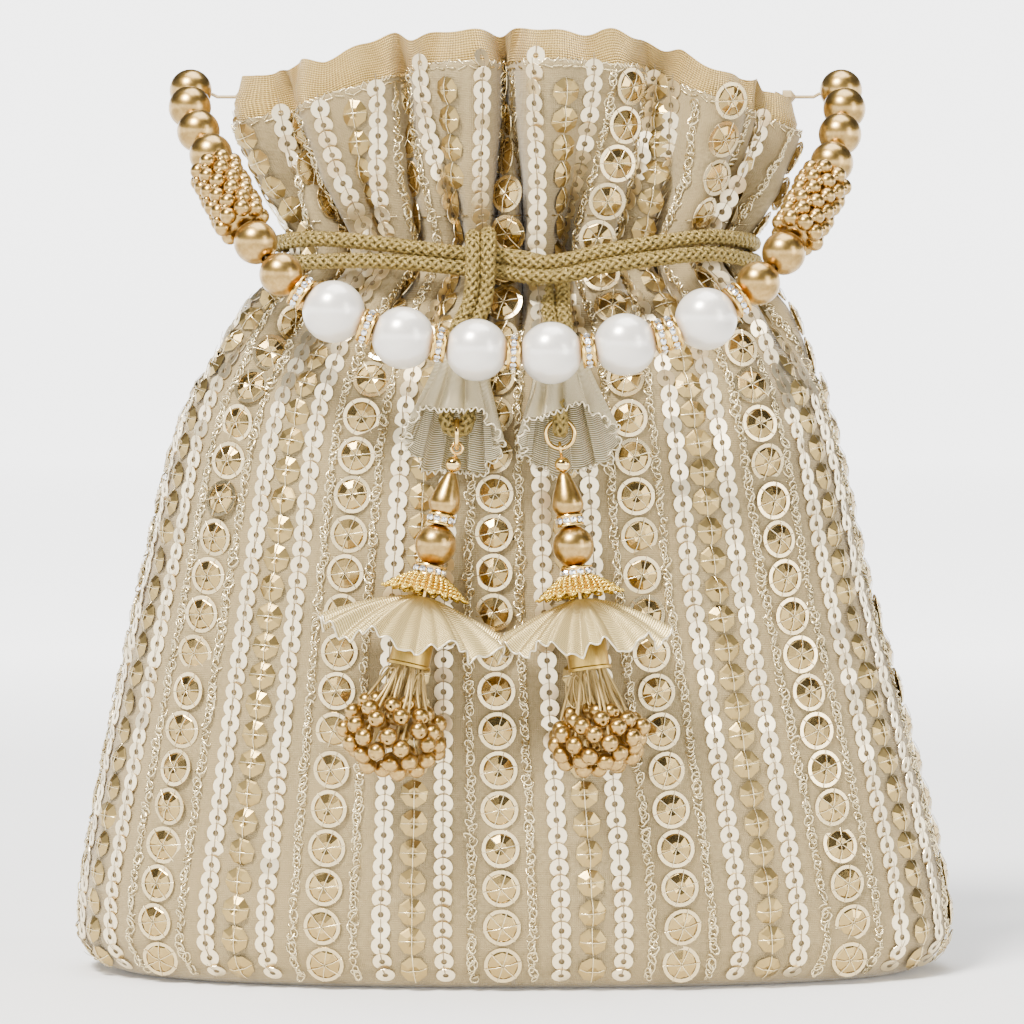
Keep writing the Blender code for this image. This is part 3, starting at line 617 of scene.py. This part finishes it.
def set_rondelle(name, node, way, radius, width, stones, body):
    metal, gems = setting(radius, width, stones)
    matrix = axis_matrix(centre(node), way, 0.4)
    piece = add_mesh(name, *placed(metal, matrix), gold_metal, body)
    piece.data.set_sharp_from_angle(angle=math.radians(40))
    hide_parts(node)
    gem = add_mesh(name + "_stones", *placed(gems, matrix), stone, body, smooth=False)


def seed_sleeve(node, way):
    """Round seed beads woven in rings round a core, with smaller ones in the gaps between the rings."""
    pitch, ring_r, gap_r, bead_r, small_r = 0.00335, 0.00455, 0.0053, 0.00195, 0.0010
    parts = []
    rows, around = 6, 8
    for row in range(rows):
        z = (row - (rows - 1) / 2) * pitch
        for k in range(around):
            a = 2 * math.pi * (k + 0.5 * (row % 2)) / around + 0.05 * math.sin(3 * row + k)
            bead = ball(bead_r, arcs=9, steps=14)
            parts.append(placed(bead, Matrix.Translation((ring_r * math.cos(a), ring_r * math.sin(a), z))))
            if row < rows - 1:
                b = a + math.pi / around / 2
                small_bead = ball(small_r, arcs=5, steps=8)
                gap = (gap_r * math.cos(b), gap_r * math.sin(b), z + 0.00168)
                parts.append(placed(small_bead, Matrix.Translation(gap)))
    parts.append(turned([(0.0, 0.0095), (0.0036, 0.0092), (0.0036, -0.0092), (0.0, -0.0095)], 14))
    sleeve = placed(merged(parts), axis_matrix(centre(node), way))
    piece = add_mesh("woven_" + node, *sleeve, gold_pearl, "handle")
    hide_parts(node)


for name in STRING:
    way = bead_way[name]
    if name.startswith("rondelle"):
        set_rondelle("setting_" + name, name, way, RONDELLE_R, RONDELLE_WIDTH, RONDELLE_STONES, "handle")
    elif name.startswith("seed"):
        seed_sleeve(name, way)
    else:
        white = name.startswith("pearl")
        part = ball(PEARL_R if white else GOLD_BEAD_R, THREAD_BORE, arcs=26, steps=44)
        part = placed(part, axis_matrix(centre(name), way))
        piece = add_mesh("lacquered_" + name, *part, white_pearl if white else gold_pearl, "handle")
        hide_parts(name)


# Drawstrings: a round cord each side, worked from ten flat metallic yarns, doubled and tied in one half knot in
# front. The ends fall behind the handle into a ribbon bell each, and turn through a jump ring there.
def sweep(points, radius, sides=10, closed=False):
    """A round tube along points."""
    points = [Vector(p) for p in points]
    count = len(points)
    made = []
    up = Vector((0, 0, 1))
    for i, here in enumerate(points):
        before = points[(i - 1) % count] if closed else points[max(i - 1, 0)]
        after = points[(i + 1) % count] if closed else points[min(i + 1, count - 1)]
        way = (after - before).normalized()
        up = (up - way * up.dot(way)).normalized() if abs(up.dot(way)) < 0.99 else way.orthogonal().normalized()
        side = way.cross(up)
        for k in range(sides):
            a = 2 * math.pi * k / sides
            made.append(tuple(here + side * (radius * math.cos(a)) + up * (radius * math.sin(a))))
    faces = [tuple(f) for f in grid_faces(count, sides).tolist()]
    last = (count - 1) * sides
    if closed:
        faces += [(last + k, last + (k + 1) % sides, (k + 1) % sides, k) for k in range(sides)]
    else:
        faces += [tuple(range(sides))[::-1], tuple(last + k for k in range(sides))]
    return made, faces


def curve(points, spacing):
    """Evenly spaced points of a Catmull-Rom curve through the given ones."""
    p = [Vector(q) for q in points]
    p = [2 * p[0] - p[1], *p, 2 * p[-1] - p[-2]]
    fine = []
    for a, b, c, d in zip(p, p[1:], p[2:], p[3:]):
        for k in range(40):
            t = k / 40
            bend, twist = 2 * a - 5 * b + 4 * c - d, 3 * b - a - 3 * c + d
            fine.append(0.5 * (2 * b + (c - a) * t + bend * t**2 + twist * t**3))
    fine.append(p[-2])
    fine = np.array([tuple(q) for q in fine])
    run = np.concatenate([[0], np.cumsum(np.linalg.norm(np.diff(fine, axis=0), axis=1))])
    at = np.linspace(0, run[-1], max(2, int(round(run[-1] / spacing)) + 1))
    return [Vector([np.interp(s, run, fine[:, axis]) for axis in range(3)]) for s in at]


knit = Finish("knitted_cord", Metallic=0.85, Roughness=0.30)
fleck = knit.node("TexNoise", None, 0, Vector=knit.node("TexCoord", None, 3), Scale=1500.0, Detail=3.0)
groove_shade = knit.ramp(knit.node("NewGeometry", None, 7), 0.42, 0.52)
yarn_colour = knit.mix(knit.ramp(fleck, 0.38, 0.62), (0.58, 0.46, 0.20), (1.0, 0.90, 0.58))
knit.set(Base_Color=knit.mix(groove_shade, (0.34, 0.25, 0.08), yarn_colour))
strand = knit.node("TexNoise", None, 0, Vector=knit.node("TexCoord", None, 3), Scale=5200.0, Detail=1.0)
knit.bump(strand, 0.00035, 0.9)
CORD_R = 0.0018
YARNS = 5
YARN_LEAD = 0.0100
YARN_STEP = 0.00042
YARN_HALF_WIDTH = 0.00050
YARN_HALF_THICKNESS = 0.00030
CORE_SHARE = 0.62


def worked_cord(route):
    """Ten flat metallic yarns worked over and under each other round a core."""
    line = curve(route, YARN_STEP)
    here = np.array([tuple(p) for p in line])
    way = np.gradient(here, axis=0)
    way /= np.linalg.norm(way, axis=1)[:, None]
    ups = []
    up = np.array([0.0, 0.0, 1.0])
    for w in way:
        up = up - w * up.dot(w)
        up = up / np.linalg.norm(up)
        ups.append(up)
    ups = np.array(ups)
    side = np.cross(way, ups)
    run = np.arange(len(line)) * YARN_STEP * 2 * math.pi / YARN_LEAD
    parts = [sweep(line[::3], CORD_R * CORE_SHARE, 7)]
    for hand in (1, -1):
        for k in range(YARNS):
            a = (hand * run + 2 * math.pi * k / YARNS)[:, None]
            r = (CORD_R * (0.80 + 0.10 * hand * np.cos(YARNS * run)))[:, None]
            out = side * np.cos(a) + ups * np.sin(a)
            centre_line = here + out * r
            ahead = np.gradient(centre_line, axis=0)
            ahead /= np.linalg.norm(ahead, axis=1)[:, None]
            flat = np.cross(ahead, out)
            rows = []
            for j in range(5):
                b = 2 * math.pi * j / 5
                rows.append(centre_line + flat * (YARN_HALF_WIDTH * math.cos(b)) + out * (YARN_HALF_THICKNESS * math.sin(b)))
            yarn = [tuple(q) for q in np.stack(rows, 1).reshape(-1, 3)]
            parts.append((yarn, grid_faces(len(line), 5).tolist()))
    return merged(parts), line


LEFT_STRANDS = [
    [(-0.0500, 0.0030, 0.1690), (-0.0552, -0.0015, 0.1692), (-0.0530, -0.0120, 0.1698), (-0.0455, -0.0215, 0.1703),
     (-0.0340, -0.0262, 0.1694), (-0.0210, -0.0285, 0.1678), (-0.0120, -0.0290, 0.1668), (-0.0045, -0.0295, 0.1664),
     (0.0030, -0.0282, 0.1655), (0.0075, -0.0262, 0.1640), (0.0105, -0.0268, 0.1602), (0.0108, -0.0310, 0.1545)],
    [(-0.0500, 0.0030, 0.1655), (-0.0552, -0.0015, 0.1652), (-0.0535, -0.0120, 0.1648), (-0.0465, -0.0222, 0.1650),
     (-0.0350, -0.0276, 0.1652), (-0.0215, -0.0296, 0.1645), (-0.0120, -0.0298, 0.1635), (-0.0045, -0.0298, 0.1630),
     (0.0020, -0.0285, 0.1620), (0.0052, -0.0268, 0.1605), (0.0072, -0.0272, 0.1580), (0.0076, -0.0312, 0.1540)],
]
RIGHT_STRANDS = [
    [(0.0500, 0.0030, 0.1690), (0.0552, -0.0015, 0.1692), (0.0528, -0.0125, 0.1700), (0.0440, -0.0240, 0.1706),
     (0.0320, -0.0300, 0.1692), (0.0200, -0.0322, 0.1672), (0.0100, -0.0330, 0.1650), (0.0020, -0.0318, 0.1648),
     (-0.0040, -0.0262, 0.1662), (-0.0062, -0.0262, 0.1698), (-0.0062, -0.0300, 0.1712), (-0.0062, -0.0336, 0.1690),
     (-0.0062, -0.0348, 0.1650), (-0.0064, -0.0348, 0.1600), (-0.0072, -0.0350, 0.1550)],
    [(0.0500, 0.0030, 0.1655), (0.0552, -0.0015, 0.1652), (0.0538, -0.0125, 0.1655), (0.0450, -0.0245, 0.1668),
     (0.0330, -0.0312, 0.1658), (0.0205, -0.0334, 0.1640), (0.0105, -0.0342, 0.1618), (0.0020, -0.0326, 0.1618),
     (-0.0060, -0.0268, 0.1640), (-0.0094, -0.0264, 0.1690), (-0.0096, -0.0302, 0.1706), (-0.0096, -0.0338, 0.1680),
     (-0.0096, -0.0350, 0.1640), (-0.0098, -0.0350, 0.1595), (-0.0106, -0.0352, 0.1550)],
]
RING_R = 0.0032
BIGHT_LIFT = 0.0008


def bight(ring, across):
    """The turn of a doubled cord through its jump ring, from one strand to the other."""
    low = Vector(ring) + Vector((0, 0, BIGHT_LIFT))
    way = Vector(across)
    made = []
    for reach, rise, back in ((0.0024, 0.0052, 0.0006), (0.0024, 0.0026, 0.0), (0.0017, 0.0007, 0.0), (0.0, 0.0, 0.0)):
        made.append(low + way * reach + Vector((0, back, rise)))
    return made + [p - 2 * way * (p - low).dot(way) for p in made[-2::-1]]


ring_left_at, ring_right_at = centre("ring_left"), centre("ring_right")
left_bight = bight(ring_left_at, (1, 0, 0))
right_bight = bight(ring_right_at, (0, 1, 0))
from_right = [
    *RIGHT_STRANDS[0], (-0.0096, -0.0366, 0.1490), (-0.0101, -0.0398, 0.1420), (-0.0104, -0.0436, 0.1362),
    *left_bight, (-0.0157, -0.0436, 0.1362), (-0.0146, -0.0398, 0.1420), (-0.0134, -0.0366, 0.1490),
    *RIGHT_STRANDS[1][::-1],
]
from_left = [
    *LEFT_STRANDS[0], (0.0114, -0.0352, 0.1485), (0.0116, -0.0390, 0.1425), (0.0110, -0.0418, 0.1368),
    *right_bight[::-1], (0.0090, -0.0452, 0.1368), (0.0086, -0.0402, 0.1425), (0.0083, -0.0358, 0.1485),
    *LEFT_STRANDS[1][::-1],
]
for name, route, exit_at, nodes in (
    ("drawstring_left", from_left, LEFT_STRANDS[0][0], ("cord_left", "cord_end_right")),
    ("drawstring_right", from_right, RIGHT_STRANDS[0][0], ("cord_right", "cord_end_left", "knot")),
):
    mesh, line = worked_cord(route)
    cord = add_mesh(name, *mesh, knit)
    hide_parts(*nodes)
    length = sum((b - a).length for a, b in zip(line, line[1:]))
    path = [tuple(p) for p in line[::4]] + [tuple(line[-1])]


# Bells: woven herringbone ribbon of silver and gold thread, pleated round the doubled cord's end and stitched.
ribbon = Finish("herringbone_ribbon", Metallic=0.75, Roughness=0.34)
coarse = ribbon.uv(1.0, 1.0)
split = ribbon.node("SeparateXYZ", None, 0, Vector=coarse)
fold = Value(ribbon.tree, split.socket.node.outputs["X"])
along = Value(ribbon.tree, split.socket.node.outputs["Y"])
chevron = (fold * 330.0).math("PINGPONG", 1.0) * 1.4 + along * 5200.0
twill = (chevron * 3.1416).math("SINE") * 0.5 + 0.5
ribbon.set(Base_Color=ribbon.mix(twill, (0.26, 0.20, 0.08), (0.84, 0.76, 0.54)))
ribbon.bump(twill, 0.00025, 0.8)
edge_thread = Finish("silver_edge", Metallic=0.7, Roughness=0.3, Base_Color=(0.72, 0.63, 0.42))


def hanging_matrix(place, up):
    """Puts a piece at place with its Z axis along up and its X axis as near the bag's own as that allows."""
    right = Vector((1, 0, 0))
    right = (right - up * right.dot(up)).normalized()
    return Matrix.Translation(place) @ Matrix((right, up.cross(right), up)).transposed().to_4x4()


def bell(side, top, mouth, phase):
    steps, rows = 200, 26
    a = 2 * math.pi * np.arange(steps) / steps
    points, uvs = [], []
    length = (Vector(mouth) - Vector(top)).length
    for row in range(rows):
        t = row / (rows - 1)
        half_width = 0.0043 + 0.0062 * t**1.15
        half_depth = 0.0037 + 0.0042 * t**1.15
        pleat = (0.18 + 0.12 * t) * (np.abs(np.cos(6.0 * a + phase + 0.6 * np.sin(2 * a))) ** 0.6 - 0.6)
        lip = 0.0009 * t**3 * np.sin(5 * a + phase)
        z = -length * t * (1 + 0.20 * t * np.sin(a)) + lip
        points.append(np.stack([half_width * (1 + pleat) * np.cos(a), half_depth * (1 + pleat) * np.sin(a), z], -1))
        uvs.append(np.stack([0.09 * np.arange(steps) / steps, np.full(steps, length * t)], -1))
    turn = (Vector(top) - Vector(mouth)).normalized()
    matrix = hanging_matrix(top, turn)
    flat = np.concatenate(points)
    world = [tuple(matrix @ Vector(p)) for p in flat]
    obj = add_mesh("bell_ribbon_" + side, world, grid_faces(rows, steps).tolist(), ribbon, uvs=np.concatenate(uvs))
    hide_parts("bell_" + side)
    rim = [matrix @ Vector(p) for p in points[-1]]
    loops = []
    for i in range(0, steps * 3):
        here = rim[(i // 3) % steps].lerp(rim[(i // 3 + 1) % steps], (i % 3) / 3)
        swing = 2 * math.pi * i / 12
        out = (here - matrix @ Vector((0, 0, -length))).normalized()
        loops.append(here + out * 0.00035 * math.cos(swing) - turn * 0.0004 * (1 + math.sin(swing)))
    picot = add_mesh("bell_edge_" + side, *sweep(loops, 0.00020, 5, closed=True), edge_thread)


bell("left", (-0.0117, -0.0378, 0.1466), (-0.0140, -0.0472, 0.1250), 0.4)
bell("right", (0.0100, -0.0378, 0.1466), (0.0118, -0.0472, 0.1250), 1.9)


# Tassels: each hangs on a gold eye pin from its jump ring, with a teardrop, a round bead and two rondelles
# above a filigree cap, a ribbon frill, a brushed ferrule and a cluster of small gold pearls on silk threads.
brushed = Finish("antique_brushed_gold", Metallic=1.0, Roughness=0.34)
upright = brushed.node("Mapping", None, 0, Vector=brushed.node("TexCoord", None, 3), Scale=(5000.0, 5000.0, 60.0))
streak = brushed.node("TexNoise", None, 0, Vector=upright, Scale=1.0, Detail=2.0)
brushed.set(Base_Color=brushed.mix(streak, (0.34, 0.21, 0.04), (0.58, 0.39, 0.10)))
frill_finish = Finish("tissue_ribbon", Metallic=0.65, Roughness=0.36)
frill_split = frill_finish.node("SeparateXYZ", None, 0, Vector=frill_finish.uv(1.0, 1.0))
down = Value(frill_finish.tree, frill_split.socket.node.outputs["Y"])
round_way = Value(frill_finish.tree, frill_split.socket.node.outputs["X"])
rib = (down * 13000.0).math("SINE") * 0.5 + 0.5
warp_line = (round_way * 14000.0).math("SINE") * 0.5 + 0.5
frill_finish.set(Base_Color=frill_finish.mix(rib * 0.8 + warp_line * 0.2, (0.32, 0.23, 0.07), (0.70, 0.55, 0.26)))
frill_finish.bump(rib, 0.0002, 0.6)
silk = Finish("silk_thread", Roughness=0.40, Base_Color=(0.42, 0.29, 0.10), Metallic=0.55)
ring_gold = Finish("polished_gold", Metallic=1.0, Roughness=0.14, Base_Color=(0.86, 0.60, 0.22))
lace_gold = Finish("filigree_gold", Metallic=1.0, Roughness=0.25, Base_Color=(0.84, 0.60, 0.10))


def hoop(radius, wire, steps=40, sides=10):
    angles = [2 * math.pi * i / steps for i in range(steps)]
    line = [Vector((radius * math.cos(a), radius * math.sin(a), 0)) for a in angles]
    return sweep(line, wire, sides, closed=True)


def braid(radius, height, wire, waves, swing):
    line = []
    for i in range(waves * 8):
        a = 2 * math.pi * i / (waves * 8)
        b = waves * a
        r = radius + swing * math.cos(b)
        line.append(Vector((r * math.cos(a), r * math.sin(a), height + swing * 0.7 * math.sin(b))))
    return sweep(line, wire, 5, closed=True)


FRILL_WIDTH = 0.019
CLUSTER_CENTRE = Vector((0, 0, -0.0655))
THREADS_MEET = Vector((0, 0, -0.0585))
GOLDEN_ANGLE = 2.39996
SMALL_PEARL_R = 0.00202


def stand_in(node):
    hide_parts(node)


def tassel(side, ring_at, ring_axis, spread, cluster, cluster_size, phase):
    body = "tassel_" + side
    pivot = ring_at - Vector((0, 0, RING_R))
    way = (pivot - centre("round_bead_" + side)).normalized()
    frame_of = hanging_matrix(pivot, way)

    turn = Vector((0, 0, 1)).rotation_difference(Vector(ring_axis)).to_matrix().to_4x4()
    ring = placed(hoop(RING_R, 0.00052), Matrix.Translation(ring_at) @ turn)
    ring = add_mesh("jump_ring_" + side, *ring, ring_gold, "ring_" + side)
    stand_in("ring_" + side)

    eye_turn = Matrix.Rotation(math.pi / 2, 4, "X") if ring_axis[0] else Matrix.Rotation(math.pi / 2, 4, "Y")
    eye = placed(hoop(0.00125, 0.00035, 28, 8), eye_turn)
    small_ball = placed(ball(0.00178, arcs=16, steps=24), Matrix.Translation((0, 0, -0.0037)))
    shaft = turned([(0.0, -0.0012), (0.00035, -0.0012), (0.00035, -0.0405), (0.0, -0.0405)], 10)
    pin = add_mesh("eye_pin_wire_" + side, *placed(merged([eye, small_ball, shaft]), frame_of), ring_gold, body)
    stand_in("eye_pin_" + side)

    drop = [
        (0.0007, -0.0056), (0.0010, -0.0056), (0.00145, -0.0063), (0.0020, -0.0076), (0.0026, -0.0092),
        (0.0032, -0.0110), (0.00352, -0.0124), (0.00350, -0.0134), (0.0031, -0.0144), (0.0024, -0.0150),
        (0.0007, -0.0151),
    ]
    drop = curve([(r, 0, z) for r, z in drop], 0.00035)
    drop = placed(turned([(p.x, p.z) for p in drop], 36), frame_of)
    piece = add_mesh("teardrop_bead_" + side, *drop, gold_pearl, body)
    stand_in("teardrop_" + side)
    round_bead = placed(ball(0.00468, 0.0007, 24, 40), Matrix.Translation((0, 0, -0.0222)))
    piece = add_mesh("round_pearl_" + side, *placed(round_bead, frame_of), gold_pearl, body)
    stand_in("round_bead_" + side)
    set_rondelle("upper_setting_" + side, "rondelle_upper_" + side, way, 0.0031, 0.0025, 10, body)
    set_rondelle("lower_setting_" + side, "rondelle_lower_" + side, way, 0.0037, 0.0026, 11, body)

    lace = [turned([(0.0012, -0.0296), (0.0040, -0.0300), (0.0078, -0.0325), (0.0078, -0.0328), (0.0012, -0.0300)], 36)]
    for k in range(6):
        t = k / 5
        lace.append(braid(0.0034 + 0.0050 * t, -0.0294 - 0.0033 * t**1.3, 0.00030, 18 + 4 * k, 0.00042))
    for k in range(18):
        a = 2 * math.pi * k / 18
        spot = Vector((0.0090 * math.cos(a), 0.0090 * math.sin(a), -0.0330))
        lean = Matrix.Rotation(a, 4, "Z") @ Matrix.Rotation(0.5, 4, "Y")
        lace.append(placed(hoop(0.00075, 0.00024, 12, 5), Matrix.Translation(spot) @ lean))
        tip = spot + Vector((0.0007 * math.cos(a), 0.0007 * math.sin(a), -0.0003))
        lace.append(placed(ball(0.00036, arcs=5, steps=6), Matrix.Translation(tip)))
    piece = add_mesh("filigree_" + side, *placed(merged(lace), frame_of), lace_gold, body)
    stand_in("filigree_cap_" + side)

    steps, rows = 260, 30
    hand = 1 if side == "left" else -1
    a = 2 * math.pi * np.arange(steps) / steps
    points, uvs = [], []
    for row in range(rows):
        t = row / (rows - 1)
        flute = np.sin(9 * a + phase + 0.8 * np.sin(2 * a + phase))
        pleatlet = np.abs(np.sin(15 * a + phase + 0.5 * np.sin(3 * a))) - 0.5
        reach = t**0.85 * (1 + 0.07 * flute * t + 0.02 * pleatlet * t)
        fall = 0.0020 + 0.0075 * t + 0.0040 * t**2 * (0.5 - 0.5 * np.sin(a)) - 0.0012 * t**2 * np.cos(a) * hand
        z = -0.0322 - fall + 0.0017 * t * flute + 0.0011 * t * pleatlet + 0.0004 * t**3 * np.sin(31 * a)
        x = (0.0024 + (spread - 0.0024) * reach) * np.cos(a)
        points.append(np.stack([x, (0.0024 + 0.0078 * reach) * np.sin(a), z], -1))
        uvs.append(np.stack([0.12 * np.arange(steps) / steps, np.full(steps, 0.017 * t)], -1))
    world = [tuple(frame_of @ Vector(p)) for p in np.concatenate(points)]
    faces = grid_faces(rows, steps).tolist()
    frill = add_mesh("frill_ribbon_" + side, world, faces, frill_finish, body, uvs=np.concatenate(uvs))
    stand_in("frill_" + side)
    border = [frame_of @ (Vector(p) + Vector((0, 0, 0.0002 * math.sin(i)))) for i, p in enumerate(points[-1])]
    border = add_mesh("frill_edge_" + side, *sweep(border, 0.00026, 5, closed=True), edge_thread, body)
    flat = (mesh_area(frill) / FRILL_WIDTH, FRILL_WIDTH)

    tube = [
        (0.0009, -0.0400), (0.0043, -0.0400), (0.0045, -0.0404), (0.0046, -0.0492), (0.0050, -0.0495),
        (0.0050, -0.0501), (0.0044, -0.0500), (0.0043, -0.0404), (0.0009, -0.0404),
    ]
    ferrule = add_mesh("brushed_ferrule_" + side, *placed(turned(tube, 40), frame_of), brushed, body)
    ferrule.data.set_sharp_from_angle(angle=math.radians(35))
    stand_in("ferrule_" + side)

    beads, threads = [], []
    wide, deep, high = cluster_size
    for k in range(cluster):
        level = 1 - 2 * (k + 0.5) / cluster
        a_k = k * GOLDEN_ANGLE + phase
        flat = math.sqrt(1 - level * level)
        jitter = rng.normal(0, 0.00035, 3)
        spot = Vector((wide * flat * math.cos(a_k), deep * flat * math.sin(a_k), high * level))
        spot = spot + Vector(jitter) + CLUSTER_CENTRE
        out = (spot - THREADS_MEET).normalized()
        beads.append(placed(ball(SMALL_PEARL_R, 0.00035, 10, 16), axis_matrix(spot, out)))
        if k % 3 == 0 or level > 0.55:
            start = Vector((0.0030 * math.cos(a_k), 0.0030 * math.sin(a_k), -0.0490))
            slack = Vector((0.0006 * math.cos(5 * a_k), 0.0006 * math.sin(7 * a_k), -0.0006))
            middle = start.lerp(spot, 0.5) + slack
            threads.append(sweep(curve([start, middle, spot], 0.0008), 0.00036, 6))
    for k in range(3 if side == "right" else 5):
        a_k = math.radians(200 + 28 * k)
        middle = Vector((0.0046 * math.cos(a_k), 0.0036 * math.sin(a_k), -0.0545))
        loop = []
        for b in (2 * math.pi * j / 16 for j in range(16)):
            reach = Vector((0.0016 * math.cos(b) * math.cos(a_k), 0.0010 * math.cos(b), 0.0036 * math.sin(b)))
            loop.append(middle + reach)
        threads.append(sweep(loop, 0.00022, 5, closed=True))
    pearls = add_mesh("pearl_cluster_" + side, *placed(merged(beads), frame_of), gold_pearl, body)
    stand_in("pearl_drop_" + side)
    strings = add_mesh("silk_threads_" + side, *placed(merged(threads), frame_of), silk, body)


tassel("left", ring_left_at, (1, 0, 0), 0.0212, 54, (0.0102, 0.0088, 0.0082), 0.3)
tassel("right", ring_right_at, (0, 1, 0), 0.0186, 48, (0.0096, 0.0084, 0.0066), 2.1)
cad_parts["handle_thread"].data.materials.clear()
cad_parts["handle_thread"].data.materials.append(nylon.material)


# Studio: a round pale floor that turns up at its far rim on every side, large soft lights, and the camera.
floor_finish = Finish("studio_white", Roughness=0.9, Emission_Strength=3.4)
spot_on_floor = floor_finish.node("TexCoord", None, 3)
spot_on_floor_length = floor_finish.node("VectorMath", {"operation": "LENGTH"}, 1, Vector=spot_on_floor)
away = floor_finish.ramp(spot_on_floor_length, 0.9, 3.6)
behind = floor_finish.ramp(floor_finish.node("SeparateXYZ", None, 1, Vector=spot_on_floor), 0.05, 1.0)
near_floor = floor_finish.ramp(spot_on_floor_length, 0.12, 0.55)
floor_finish.set(
    Base_Color=floor_finish.mix(near_floor, (0.85, 0.85, 0.85), (0.55, 0.55, 0.55)),
    Emission_Color=floor_finish.mix(away.math("MAXIMUM", behind), (0.02, 0.02, 0.02), (1.0, 1.0, 1.0)),
)
floor_profile = [(0.02, 0), (0.5, 0), (1.5, 0), (3.6, 0), (3.9, 0.06), (4.05, 0.25), (4.1, 1.1)]
FLOOR_STEPS = 96
round_floor = [
    (r * math.cos(a), r * math.sin(a), z - 0.0002)
    for r, z in floor_profile
    for a in (2 * math.pi * k / FLOOR_STEPS for k in range(FLOOR_STEPS))
]
floor_faces = [tuple(f) for f in grid_faces(len(floor_profile), FLOOR_STEPS).tolist()] + [tuple(range(FLOOR_STEPS))]
floor = add_mesh("floor", round_floor, floor_faces, floor_finish, body=None)


def area_light(name, place, target, size, power, colour=(1, 1, 1)):
    data = bpy.data.lights.new(name, "AREA")
    data.shape = "RECTANGLE"
    data.size, data.size_y = size
    data.energy = power
    data.color = colour
    obj = bpy.data.objects.new(name, data)
    bpy.context.scene.collection.objects.link(obj)
    obj.location = place
    obj.rotation_euler = (Vector(target) - Vector(place)).to_track_quat("-Z", "Y").to_euler()


area_light("key", (-0.55, -0.80, 1.35), (0, 0, 0.1), (0.42, 0.42), 76, (1.0, 0.97, 0.92))
area_light("fill", (1.0, -0.8, 0.45), (0, 0, 0.1), (0.4, 0.8), 7, (1.0, 0.98, 0.95))
area_light("top", (0.1, 0.1, 1.2), (0, 0, 0.1), (0.8, 0.8), 18)
world = bpy.data.worlds.new("studio")
world.use_nodes = True
world.node_tree.nodes["Background"].inputs["Color"].default_value = (1.0, 1.0, 1.0, 1.0)
world.node_tree.nodes["Background"].inputs["Strength"].default_value = 0.08
bpy.context.scene.world = world

camera_data = bpy.data.cameras.new("camera")
camera = bpy.data.objects.new("camera", camera_data)
bpy.context.scene.collection.objects.link(camera)
aim = Vector((-0.0008, -0.010, 0.1072))
elevation = math.radians(2.5)
distance = 1.1
width_in_view = 0.2372
camera.location = aim + distance * Vector((0, -math.cos(elevation), math.sin(elevation)))
camera.rotation_euler = (aim - camera.location).to_track_quat("-Z", "Y").to_euler()
camera_data.sensor_width = 36.0
camera_data.lens = camera_data.sensor_width * distance / width_in_view
camera_data.clip_start = 0.01
bpy.context.scene.camera = camera
